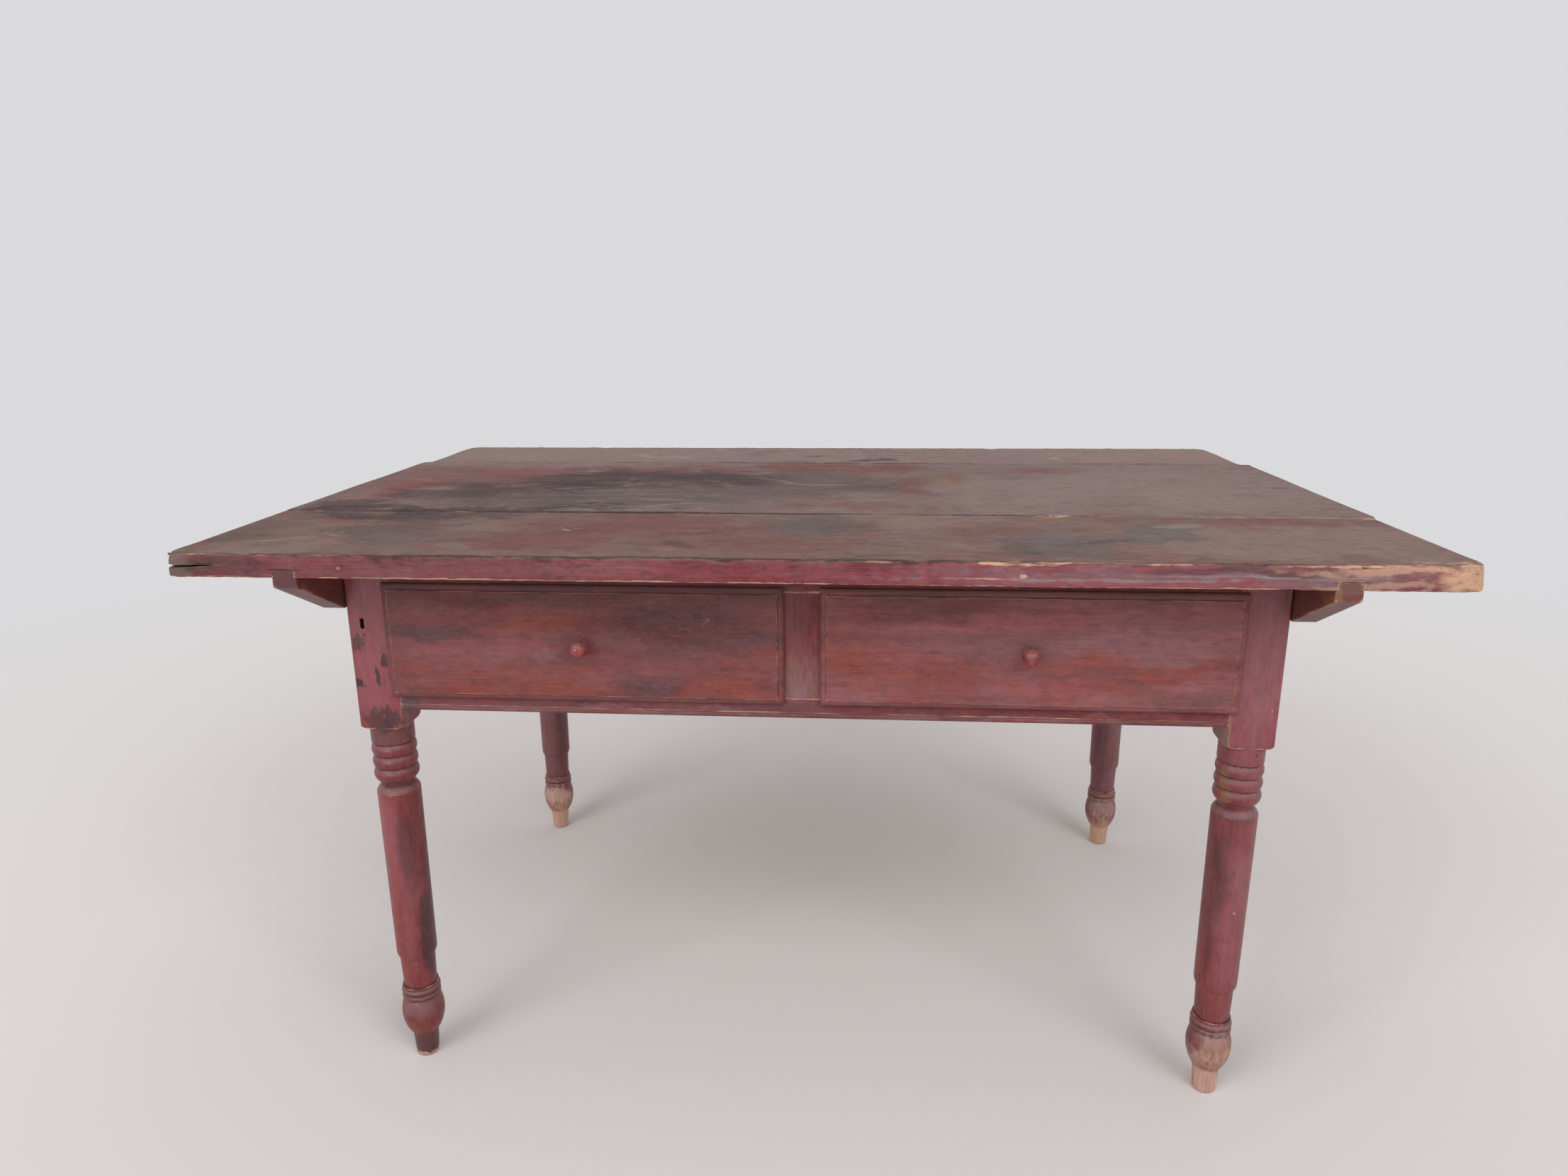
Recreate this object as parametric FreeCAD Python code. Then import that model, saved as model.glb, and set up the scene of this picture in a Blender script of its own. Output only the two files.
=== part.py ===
"""Country farm table with a three-board top on two sliding dovetail battens, turned legs
and two lipped drawers.

Millimetres. +X runs along the table to the right, +Y runs from the drawer side to the back
and +Z is up. The origin is on the floor, under the middle of the top.
"""
import FreeCAD
import Part
import math
import os

from FreeCAD import Vector

os.makedirs("parts", exist_ok=True)

# Overall sizes
table_height = 730.0
top_length = 1400.0
top_depth = 900.0
top_thickness = 27.0
end_overhang = 153.0
side_overhang = 98.0
post_size = 54.0
post_arris_radius = 1.5

# Shared fits
overrun = 1.0
level_tolerance = 0.1
running_gap = 0.3
peg_clearance = 0.05
joint_clearance = 0.5

# Top boards
front_board_width = 252.0
back_board_width = 198.0
back_board_setback = 15.0
tongue_thickness = 9.0
tongue_depth = 10.0
front_left_corner_radius = 15.0
front_right_corner_radius = 25.0
middle_corner_radius = 7.0
rear_corner_radius = 32.0
top_arris_radius = 3.5
under_arris_radius = 1.5
joint_arris_width = 0.8

# Split at the left front corner of the top, which has opened along the grain
split_length = 75.0
split_depth = 60.0
split_opening = 4.5
split_start_rise = 11.5
split_end_rise = 15.0
split_lip_setback = 5.0

# Battens under the top
batten_thickness = 28.0
batten_depth = 62.0
batten_gap = 1.5
batten_slope_length = 98.0
batten_tip_height = 11.0
batten_end_gap = 1.0
batten_arris_radius = 1.5
ridge_height = 9.0
ridge_top_width = 27.0
ridge_root_width = 21.0
ridge_side_clearance = 0.1
batten_pin_diameter = 10.0
batten_pin_head = 8.0
batten_pin_ease = 1.5
batten_pin_bite = 17.0
batten_pin_y = 190.0

# Frame
top_rail_height = 35.0
drawer_opening_height = 131.0
bottom_rail_height = 25.0
post_below_rail = 26.0
top_rail_depth = 50.0
bottom_rail_depth = 40.0
bead_diameter = 6.0
bead_quirk = 1.2
stile_width = 56.0
stile_depth = 30.0
stile_tenon_length = 12.0
stile_tenon_width = 36.0
stile_tenon_thickness = 10.0
apron_thickness = 22.0
apron_setback = 2.0
apron_tenon_thickness = 9.0
apron_tenon_length = 34.0
apron_tenon_foot = 15.0
apron_tenon_haunch = 32.0
rail_tenon_length = 25.0
rail_tenon_width = 9.0
rail_tenon_inset = 6.0
lap_length = 27.0
lap_height = 20.0
lap_root_width = 22.0
lap_end_width = 32.0
peg_diameter = 9.0
peg_length = 40.0
peg_from_shoulder = 12.0
end_peg_inset = 42.0
back_peg_inset = 64.0

# Empty peg hole in the front left post
old_hole_width = 5.6
old_hole_height = 14.0
old_hole_depth = 12.0
old_hole_from_side = 17.0
old_hole_above_rail = 85.0

# Post shoulder and turned leg, from the floor up
pommel_flat_diameter = 62.0
pommel_rise = 7.0
foot_height = 38.0
foot_bottom_diameter = 29.0
foot_top_diameter = 33.5
foot_edge_radius = 3.0
ball_height = 53.0
ball_diameter = 55.0
ball_bottom_diameter = 37.0
ball_top_diameter = 46.0
ball_belly_share = 0.6
ankle_bead_count = 2
ankle_bead_height = 8.0
ankle_bead_diameter = 50.0
ankle_fillet_height = 4.0
ankle_length = 44.0
ankle_bottom_diameter = 42.5
ankle_top_diameter = 45.0
step_height = 10.0
shaft_bottom_diameter = 51.5

# Turned leg, from the post down
collar_length = 24.5
collar_diameter = 53.0
upper_ring_count = 2
ring_height = 16.6
ring_diameter = 54.8
ring_waist_diameter = 48.8
last_ring_height = 17.7
last_ring_foot_diameter = 46.4
ring_belly_share = 0.6
neck_fillet_height = 2.2
neck_fillet_diameter = 43.6
neck_height = 4.7
neck_diameter = 40.5
neck_hollow_share = 0.12
shoulder_height = 8.6
shoulder_round_share = 0.7
shaft_top_diameter = 53.5

# Drawer runners, guides and kickers
runner_height = 24.0
side_runner_width = 48.0
centre_runner_width = 92.0
guide_height = 22.0
kicker_height = 22.0
stub_length = 10.0
stub_side_shoulder = 4.0
stub_face_shoulder = 6.0

# Drawers
drawer_side_gap = 2.0
drawer_front_gap = 2.0
lip_side_overlap = 7.0
lip_top_overlap = 6.0
lip_bottom_overlap = 6.0
lip_thickness = 9.0
lip_edge_thickness = 2.6
moulding_width = 7.5
moulding_step = 1.3
front_block_thickness = 15.0
drawer_rear_room = 100.0
drawer_side_thickness = 13.0
drawer_side_top_gap = 4.0
drawer_back_thickness = 12.0
drawer_back_drop = 4.0
front_tail_length = 11.0
tail_count = 3
tail_pin_width = 10.0
tail_slope = 1.0 / 6.0
bottom_groove_depth = 6.0
bottom_groove_height = 6.0
bottom_groove_rise = 8.0
bottom_panel_thickness = 10.0
bottom_bevel_width = 22.0
bottom_fit = 0.2

# Drawer knobs
knob_collar_diameter = 17.0
knob_collar_height = 3.0
knob_collar_ease = 1.2
knob_neck_diameter = 10.4
knob_neck_reach = 5.5
knob_ball_diameter = 20.8
knob_ball_reach = 15.5
knob_tenon_diameter = 9.0

# Levels worked out from the sizes above
top_underside = table_height - top_thickness
opening_top = top_underside - top_rail_height
opening_bottom = opening_top - drawer_opening_height
rail_bottom = opening_bottom - bottom_rail_height
post_bottom = rail_bottom - post_below_rail

# Places in plan worked out from the sizes above
post_half = post_size / 2
outer_x = top_length / 2 - end_overhang
outer_y = top_depth / 2 - side_overhang
post_x = outer_x - post_half
post_y = outer_y - post_half
inner_x = outer_x - post_size
inner_y = outer_y - post_size
front_face = -outer_y
stile_half = stile_width / 2
opening_width = inner_x - stile_half
opening_middle = stile_half + opening_width / 2
end_apron_outer = outer_x - apron_setback
end_apron_inner = end_apron_outer - apron_thickness
back_apron_outer = outer_y - apron_setback
back_apron_inner = back_apron_outer - apron_thickness
rail_back = front_face + bottom_rail_depth
top_rail_back = front_face + top_rail_depth
stile_back = front_face + stile_depth
top_half_length = top_length / 2
top_half_depth = top_depth / 2


def span_box(x_span, y_span, z_span):
    """Make a box from its low and high place on each axis."""
    corner = Vector(x_span[0], y_span[0], z_span[0])
    size = [span[1] - span[0] for span in (x_span, y_span, z_span)]
    return Part.makeBox(size[0], size[1], size[2], corner)


def prism(points, direction):
    """Extrude a closed outline of points along a direction."""
    face = Part.Face(Part.makePolygon(points + [points[0]]))
    return face.extrude(direction)


def solid_of(edges, direction):
    """Extrude the closed outline that a list of edges makes."""
    return Part.Face(Part.Wire(edges)).extrude(direction)


def line(start, end):
    """Make a straight edge."""
    return Part.LineSegment(start, end).toShape()


def arc(start, middle, end):
    """Make a circular edge through three points."""
    return Part.Arc(start, middle, end).toShape()


def quarter_round(start, corner, end):
    """Make a quarter of an ellipse that touches both sides of a corner."""
    curve = Part.BezierCurve()
    curve.setPoles([start, corner, end])
    curve.setWeight(2, math.sqrt(0.5))
    return curve.toShape()


def mirrored(shape):
    """Give the other hand of a shape, across the table's middle plane."""
    return shape.mirror(Vector(0, 0, 0), Vector(1, 0, 0))


def rod(diameter, start, direction, length):
    """Make a round rod from its start along a unit direction."""
    return Part.makeCylinder(diameter / 2, length, start, direction)


def save(name, shape):
    """Write one piece, named for its node."""
    shape.removeSplitter().exportStep(os.path.join("parts", name + ".step"))


# Top boards

front_joint_y = -top_half_depth + front_board_width
back_joint_y = top_half_depth - back_board_width
tongue_low = top_underside + (top_thickness - tongue_thickness) / 2
tongue_high = tongue_low + tongue_thickness


def rounded_outline(x_span, y_span, radii):
    """Draw a board's plan at the underside, from the left front corner round to the left back one."""
    corners = [
        (x_span[0], y_span[0]),
        (x_span[1], y_span[0]),
        (x_span[1], y_span[1]),
        (x_span[0], y_span[1]),
    ]
    inward = [(1, 1), (-1, 1), (-1, -1), (1, -1)]
    along_x_first = [False, True, False, True]
    starts = []
    ends = []
    for (x, y), (step_x, step_y), x_first, radius in zip(corners, inward, along_x_first, radii):
        on_x = Vector(x + step_x * radius, y, top_underside)
        on_y = Vector(x, y + step_y * radius, top_underside)
        starts.append(on_x if x_first else on_y)
        ends.append(on_y if x_first else on_x)
    edges = []
    for index, radius in enumerate(radii):
        if radius > 0:
            corner = Vector(corners[index][0], corners[index][1], top_underside)
            edges.append(quarter_round(starts[index], corner, ends[index]))
        following = (index + 1) % len(radii)
        edges.append(line(ends[index], starts[following]))
    return edges


def worn_edges(board, joint_places):
    """Round the exposed arrises of a board, but not those along its joints."""
    def exposed(edge):
        """Tell whether an edge runs along an outer side and not along a joint."""
        middle = edge.valueAt((edge.FirstParameter + edge.LastParameter) / 2)
        return all(abs(middle.y - place) > top_arris_radius for place in joint_places)

    def at_level(edge, level):
        """Tell whether an edge lies flat at a level."""
        box = edge.BoundBox
        return max(abs(box.ZMin - level), abs(box.ZMax - level)) < level_tolerance

    upper = [edge for edge in board.Edges if at_level(edge, table_height) and exposed(edge)]
    board = board.makeFillet(top_arris_radius, upper)
    lower = [edge for edge in board.Edges if at_level(edge, top_underside) and exposed(edge)]
    return board.makeFillet(under_arris_radius, lower)


def joint_break(joint_y):
    """Make the cut that just breaks both upper arrises along a joint between boards."""
    start = -top_half_length - overrun
    points = [
        Vector(start, joint_y - joint_arris_width, table_height),
        Vector(start, joint_y, table_height - joint_arris_width),
        Vector(start, joint_y + joint_arris_width, table_height),
        Vector(start, joint_y, table_height + joint_arris_width),
    ]
    return prism(points, Vector(top_length + 2 * overrun, 0, 0))


def tongue(x_half, joint_y, side):
    """Make the tongue that reaches from a joint towards side, -1 to the front and 1 to the back."""
    reach = joint_y + side * tongue_depth
    root = joint_y - side * overrun
    return span_box((-x_half, x_half), (min(root, reach), max(root, reach)), (tongue_low, tongue_high))


def tongue_groove(joint_y, side):
    """Make the cut that takes a tongue, a little deeper than the tongue."""
    reach = joint_y + side * (tongue_depth + joint_clearance)
    root = joint_y - side * overrun
    x_half = top_half_length + overrun
    return span_box((-x_half, x_half), (min(root, reach), max(root, reach)), (tongue_low, tongue_high))


def batten_groove(side):
    """Make the dovetail cut across the underside for the batten on side, -1 left and 1 right."""
    centre = side * batten_centre
    slope = (ridge_top_width - ridge_root_width) / (2 * ridge_height)
    mouth = ridge_root_width / 2 + ridge_side_clearance - slope * overrun
    crown = ridge_top_width / 2 + ridge_side_clearance + slope * joint_clearance
    roof = top_underside + ridge_height + joint_clearance
    start = -top_half_depth - overrun
    floor = top_underside - overrun
    points = [
        Vector(centre - mouth, start, floor),
        Vector(centre + mouth, start, floor),
        Vector(centre + crown, start, roof),
        Vector(centre - crown, start, roof),
    ]
    return prism(points, Vector(0, top_depth + 2 * overrun, 0))


batten_centre = outer_x + batten_gap + batten_thickness / 2


def top_board(x_half, y_span, radii, tongues, grooves):
    """Make one board; tongues and grooves list (joint place, side) pairs."""
    outline = rounded_outline((-x_half, x_half), y_span, radii)
    board = solid_of(outline, Vector(0, 0, top_thickness))
    joints = [place for place, side in tongues + grooves]
    board = worn_edges(board, joints)
    for place, side in tongues:
        board = board.fuse(tongue(x_half, place, side))
    for place, side in grooves:
        board = board.cut(tongue_groove(place, side))
    for place in joints:
        board = board.cut(joint_break(place))
    for side in (-1, 1):
        board = board.cut(batten_groove(side))
    return board


def split_open(board):
    """Open the split at a board's left front corner, and set back the lip below it."""
    end_x = -top_half_length - overrun
    face_y = -top_half_depth - overrun
    middle = top_underside + split_start_rise
    far_y = -top_half_depth + split_depth
    mouth = Part.makePolygon(
        [
            Vector(end_x, face_y, middle + split_opening / 2),
            Vector(end_x, face_y, middle - split_opening / 2),
            Vector(-top_half_length + split_length, face_y, top_underside + split_end_rise),
            Vector(end_x, face_y, middle + split_opening / 2),
        ]
    )
    root = Part.Vertex(Vector(end_x, far_y, middle))
    board = board.cut(Part.makeLoft([mouth, root], True, True))
    lip_waste = prism(
        [
            Vector(end_x, face_y, top_underside - overrun),
            Vector(-top_half_length + split_lip_setback, face_y, top_underside - overrun),
            Vector(end_x, far_y, top_underside - overrun),
        ],
        Vector(0, 0, split_start_rise + overrun),
    )
    return board.cut(lip_waste)


def make_top():
    """Make the three boards of the top."""
    front = top_board(
        top_half_length,
        (-top_half_depth, front_joint_y),
        (front_left_corner_radius, front_right_corner_radius, 0, 0),
        [],
        [(front_joint_y, -1)],
    )
    middle = top_board(
        top_half_length,
        (front_joint_y, back_joint_y),
        (0, 0, middle_corner_radius, middle_corner_radius),
        [(front_joint_y, -1)],
        [(back_joint_y, -1)],
    )
    back = top_board(
        top_half_length - back_board_setback,
        (back_joint_y, top_half_depth),
        (0, 0, rear_corner_radius, rear_corner_radius),
        [(back_joint_y, -1)],
        [],
    )
    save("top_board_front", split_open(front))
    save("top_board_middle", middle)
    save("top_board_back", back)


# Battens and their pins

batten_inner = outer_x + batten_gap
batten_outer = batten_inner + batten_thickness
batten_bottom = top_underside - batten_depth
batten_pin_level = top_underside - batten_depth / 2
batten_pin_bore = batten_pin_diameter + 2 * peg_clearance


def batten_pins_right():
    """List the start and length of the right batten's pins, along -X."""
    start_x = batten_outer + batten_pin_head
    length = start_x - (end_apron_outer - batten_pin_bite)
    return [(Vector(start_x, y, batten_pin_level), length) for y in (-batten_pin_y, batten_pin_y)]


def batten_right():
    """Make a batten: a deep bar with sloped ends and a dovetail ridge along its top."""
    end = top_half_depth - batten_end_gap
    tip = top_underside - batten_tip_height
    slope_end = end - batten_slope_length
    side_view = [
        Vector(batten_inner, -end, top_underside),
        Vector(batten_inner, -end, tip),
        Vector(batten_inner, -slope_end, batten_bottom),
        Vector(batten_inner, slope_end, batten_bottom),
        Vector(batten_inner, end, tip),
        Vector(batten_inner, end, top_underside),
    ]
    bar = prism(side_view, Vector(batten_thickness, 0, 0))
    eased = [
        edge for edge in bar.Edges
        if edge.BoundBox.ZMin < top_underside - level_tolerance
        and edge.BoundBox.XLength < level_tolerance
    ]
    bar = bar.makeFillet(batten_arris_radius, eased)
    ridge = prism(
        [
            Vector(batten_centre - ridge_root_width / 2, -end, top_underside),
            Vector(batten_centre + ridge_root_width / 2, -end, top_underside),
            Vector(batten_centre + ridge_top_width / 2, -end, top_underside + ridge_height),
            Vector(batten_centre - ridge_top_width / 2, -end, top_underside + ridge_height),
        ],
        Vector(0, 2 * end, 0),
    )
    batten = bar.fuse(ridge)
    for start, length in batten_pins_right():
        batten = batten.cut(rod(batten_pin_bore, start, Vector(-1, 0, 0), length))
    return batten


def make_battens():
    """Make both battens and the pins that hold them to the end aprons."""
    batten = batten_right()
    pins = []
    for start, length in batten_pins_right():
        pin = rod(batten_pin_diameter, start, Vector(-1, 0, 0), length)
        pins.append(pin.makeChamfer(batten_pin_ease, [pin.Edges[0]]))
    save("batten_right", batten)
    save("batten_left", mirrored(batten))
    save("batten_pins", Part.makeCompound(pins + [mirrored(pin) for pin in pins]))


# Joints of the frame, drawn for the right-hand end

end_apron_middle = (end_apron_outer + end_apron_inner) / 2
back_apron_middle = (back_apron_outer + back_apron_inner) / 2
apron_tenon_low = rail_bottom + apron_tenon_foot
apron_tenon_high = top_underside - apron_tenon_haunch


def end_apron_tenon(end):
    """Make the end apron's tenon in the post at end, -1 front and 1 back."""
    shoulder = end * inner_y
    tip = end * (inner_y + apron_tenon_length)
    half = apron_tenon_thickness / 2
    return span_box(
        (end_apron_middle - half, end_apron_middle + half),
        (min(shoulder, tip), max(shoulder, tip)),
        (apron_tenon_low, apron_tenon_high),
    )


def back_apron_tenon():
    """Make the back apron's tenon in the right post."""
    half = apron_tenon_thickness / 2
    return span_box(
        (inner_x, inner_x + apron_tenon_length),
        (back_apron_middle - half, back_apron_middle + half),
        (apron_tenon_low, apron_tenon_high),
    )


def bottom_rail_tenons():
    """List the twin tenons at the right end of the bottom rail."""
    starts = (front_face + rail_tenon_inset, rail_back - rail_tenon_inset - rail_tenon_width)
    return [
        span_box(
            (inner_x, inner_x + rail_tenon_length),
            (start, start + rail_tenon_width),
            (rail_bottom + rail_tenon_inset / 2, opening_bottom - rail_tenon_inset / 2),
        )
        for start in starts
    ]


def top_rail_dovetail():
    """Make the lapped dovetail at the right end of the top rail, which drops into the post."""
    middle = (front_face + top_rail_back) / 2
    floor = top_underside - lap_height
    points = [
        Vector(inner_x, middle - lap_root_width / 2, floor),
        Vector(inner_x + lap_length, middle - lap_end_width / 2, floor),
        Vector(inner_x + lap_length, middle + lap_end_width / 2, floor),
        Vector(inner_x, middle + lap_root_width / 2, floor),
    ]
    return prism(points, Vector(0, 0, lap_height))


def end_pegs(end):
    """List the start, direction and length of the pegs through an end apron's tenon."""
    y = end * (inner_y + peg_from_shoulder)
    levels = (rail_bottom + end_peg_inset, top_underside - end_peg_inset)
    return [(Vector(outer_x, y, level), Vector(-1, 0, 0), peg_length) for level in levels]


def back_pegs():
    """List the start, direction and length of the pegs through the back apron's right tenon."""
    x = inner_x + peg_from_shoulder
    levels = (rail_bottom + back_peg_inset, top_underside - back_peg_inset)
    return [(Vector(x, outer_y, level), Vector(0, -1, 0), peg_length) for level in levels]


def bored(shape, pegs):
    """Bore a shape for pegs, from just outside their heads."""
    for start, direction, length in pegs:
        mouth = start - direction * overrun
        shape = shape.cut(rod(peg_diameter + 2 * peg_clearance, mouth, direction, length + overrun))
    return shape


def peg_solids(pegs):
    """Make the pegs themselves."""
    return [rod(peg_diameter, start, direction, length) for start, direction, length in pegs]


# Legs


class Outline:
    """The half outline of a turned piece, drawn as it goes in (diameter, height) steps."""

    def __init__(self, diameter, level):
        """Start the outline at a diameter and height."""
        self.edges = []
        self.end = Vector(diameter / 2, 0, level)

    def go(self, diameter, level):
        """Run straight to the next point."""
        target = Vector(diameter / 2, 0, level)
        self.edges.append(line(self.end, target))
        self.end = target

    def swell(self, through_diameter, through_level, diameter, level):
        """Run along an arc, through one point, to the next."""
        target = Vector(diameter / 2, 0, level)
        self.edges.append(arc(self.end, Vector(through_diameter / 2, 0, through_level), target))
        self.end = target

    def flare(self, diameter, level):
        """Round off to a point, leaving sideways and arriving upright."""
        target = Vector(diameter / 2, 0, level)
        self.edges.append(quarter_round(self.end, Vector(target.x, 0, self.end.z), target))
        self.end = target

    def revolved(self):
        """Turn the closed outline about the upright axis."""
        return Part.Face(Part.Wire(self.edges)).revolve(Vector(0, 0, 0), Vector(0, 0, 1), 360)


def turned_part():
    """Make the turned part of a leg on the origin, from the floor up to the post."""
    shape = Outline(0, 0)

    # Peg foot with an eased rim
    shape.go(foot_bottom_diameter - 2 * foot_edge_radius, 0)
    shape.flare(foot_bottom_diameter, foot_edge_radius)
    shape.go(foot_top_diameter, foot_height)

    # Ball
    belly = foot_height + ball_height * ball_belly_share
    level = foot_height + ball_height
    shape.go(ball_bottom_diameter, foot_height)
    shape.swell(ball_diameter, belly, ball_top_diameter, level)

    # Double bead and fillet above the ball
    for bead in range(ankle_bead_count):
        middle = level + ankle_bead_height / 2
        level = level + ankle_bead_height
        shape.swell(ankle_bead_diameter, middle, ball_top_diameter, level)
    level = level + ankle_fillet_height
    shape.go(ball_top_diameter, level)

    # Ankle and the rounded step under the shaft
    shape.go(ankle_bottom_diameter, level)
    level = level + ankle_length
    shape.go(ankle_top_diameter, level)
    level = level + step_height
    shape.flare(shaft_bottom_diameter, level)

    # Shaft and its rounded shoulder, which meets it at an arris
    rings_low = post_bottom - collar_length - upper_ring_count * ring_height - last_ring_height
    neck_low = rings_low - neck_fillet_height - neck_height
    shape.go(shaft_top_diameter, neck_low - shoulder_height)
    round_diameter = neck_diameter + (shaft_top_diameter - neck_diameter) * shoulder_round_share
    shape.swell(round_diameter, neck_low - shoulder_height / 2, neck_diameter, neck_low)

    # Hollow neck and its fillet
    hollow = neck_diameter + (neck_fillet_diameter - neck_diameter) * neck_hollow_share
    shape.swell(hollow, neck_low + neck_height / 2, neck_fillet_diameter, neck_low + neck_height)
    shape.go(neck_fillet_diameter, rings_low)

    # Three rings, the lowest drawn in to an arris over the fillet
    level = rings_low + last_ring_height
    shape.go(last_ring_foot_diameter, rings_low)
    shape.swell(ring_diameter, rings_low + last_ring_height * ring_belly_share, ring_waist_diameter, level)
    for ring in range(upper_ring_count):
        middle = level + ring_height / 2
        level = level + ring_height
        shape.swell(ring_diameter, middle, ring_waist_diameter, level)

    # Plain collar that runs up into the post
    shape.go(collar_diameter, level + (collar_diameter - ring_waist_diameter) / 2)
    shape.go(collar_diameter, post_bottom + overrun)
    shape.go(0, post_bottom + overrun)
    shape.go(0, 0)
    return shape.revolved()


def post():
    """Make the square post; the lathe has rounded its lower corners."""
    square = span_box((-post_half, post_half), (-post_half, post_half), (post_bottom, top_underside))
    upright = [edge for edge in square.Edges if edge.BoundBox.XLength + edge.BoundBox.YLength < post_half]
    square = square.makeFillet(post_arris_radius, upright)
    across_corners = post_size * math.sqrt(2) + overrun
    shape = Outline(0, post_bottom)
    shape.go(pommel_flat_diameter, post_bottom)
    shape.flare(across_corners, post_bottom + pommel_rise)
    shape.go(across_corners, top_underside + overrun)
    shape.go(0, top_underside + overrun)
    shape.go(0, post_bottom)
    return square.common(shape.revolved())


def old_hole():
    """Make the empty slotted peg hole in the front left post's front face."""
    x = -outer_x + old_hole_from_side
    level = opening_bottom + old_hole_above_rail
    half = (old_hole_height - old_hole_width) / 2
    start = Vector(x, front_face - overrun, level)
    into = Vector(0, 1, 0)
    depth = old_hole_depth + overrun
    slot = span_box(
        (x - old_hole_width / 2, x + old_hole_width / 2),
        (front_face - overrun, front_face + old_hole_depth),
        (level - half, level + half),
    )
    for end in (-half, half):
        slot = slot.fuse(rod(old_hole_width, start + Vector(0, 0, end), into, depth))
    return slot


def make_legs():
    """Make the four legs with their mortises and peg holes."""
    leg = post().fuse(turned_part())
    front = leg.translated(Vector(post_x, -post_y, 0))
    front = front.cut(end_apron_tenon(-1)).cut(top_rail_dovetail())
    for tenon in bottom_rail_tenons():
        front = front.cut(tenon)
    front = bored(front, end_pegs(-1))
    rear = leg.translated(Vector(post_x, post_y, 0))
    rear = rear.cut(end_apron_tenon(1)).cut(back_apron_tenon())
    rear = bored(rear, end_pegs(1) + back_pegs())
    save("leg_front_right", front)
    save("leg_front_left", mirrored(front).cut(old_hole()))
    save("leg_rear_right", rear)
    save("leg_rear_left", mirrored(rear))


# Rails, stile and aprons


def stile_tenon(level, end):
    """Make the centre stile's tenon at a level; end is 1 up or -1 down."""
    tip = level + end * stile_tenon_length
    middle = (front_face + stile_back) / 2
    return span_box(
        (-stile_tenon_width / 2, stile_tenon_width / 2),
        (middle - stile_tenon_thickness / 2, middle + stile_tenon_thickness / 2),
        (min(level, tip), max(level, tip)),
    )


def stub_tenon(x_span, start, end, z_span):
    """Make the stub tenon of a runner or kicker that reaches along Y from start, end -1 or 1."""
    tip = start + end * stub_length
    return span_box(
        (x_span[0] + stub_side_shoulder, x_span[1] - stub_side_shoulder),
        (min(start, tip), max(start, tip)),
        (z_span[0] + stub_face_shoulder, z_span[1] - stub_face_shoulder),
    )


def bottom_rail_section():
    """List the bottom rail's end outline, with a quirked bead along its lower front arris."""
    radius = bead_diameter / 2
    x = -inner_x
    bead_top = rail_bottom + bead_diameter
    quirk_back = front_face + bead_quirk

    def at(y, z):
        """Place a point of the section."""
        return Vector(x, y, z)

    under = at(front_face + radius, rail_bottom)
    nose = at(front_face, rail_bottom + radius)
    over = at(quirk_back, bead_top)
    quirk_top = at(quirk_back, bead_top + bead_quirk)
    face = at(front_face, bead_top + bead_quirk)
    return [
        quarter_round(under, at(front_face, rail_bottom), nose),
        quarter_round(nose, at(front_face, bead_top), over),
        line(over, quirk_top),
        line(quirk_top, face),
        line(face, at(front_face, opening_bottom)),
        line(at(front_face, opening_bottom), at(rail_back, opening_bottom)),
        line(at(rail_back, opening_bottom), at(rail_back, rail_bottom)),
        line(at(rail_back, rail_bottom), under),
    ]


def make_rails():
    """Make the front rails and the centre stile."""
    top_rail = span_box((-inner_x, inner_x), (front_face, top_rail_back), (opening_top, top_underside))
    top_rail = top_rail.fuse([top_rail_dovetail(), mirrored(top_rail_dovetail())])
    top_rail = top_rail.cut(stile_tenon(opening_top, 1))
    top_rail = top_rail.cut(stub_tenon(centre_span, top_rail_back, -1, kicker_z))

    bottom_rail = solid_of(bottom_rail_section(), Vector(2 * inner_x, 0, 0))
    tenons = bottom_rail_tenons()
    bottom_rail = bottom_rail.fuse(tenons + [mirrored(tenon) for tenon in tenons])
    bottom_rail = bottom_rail.cut(stile_tenon(opening_bottom, -1))
    for x_span in (left_span, centre_span, right_span):
        bottom_rail = bottom_rail.cut(stub_tenon(x_span, rail_back, -1, runner_z))

    stile = span_box((-stile_half, stile_half), (front_face, stile_back), (opening_bottom, opening_top))
    stile = stile.fuse([stile_tenon(opening_top, 1), stile_tenon(opening_bottom, -1)])
    save("front_top_rail", top_rail)
    save("front_bottom_rail", bottom_rail)
    save("centre_stile", stile)


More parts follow.
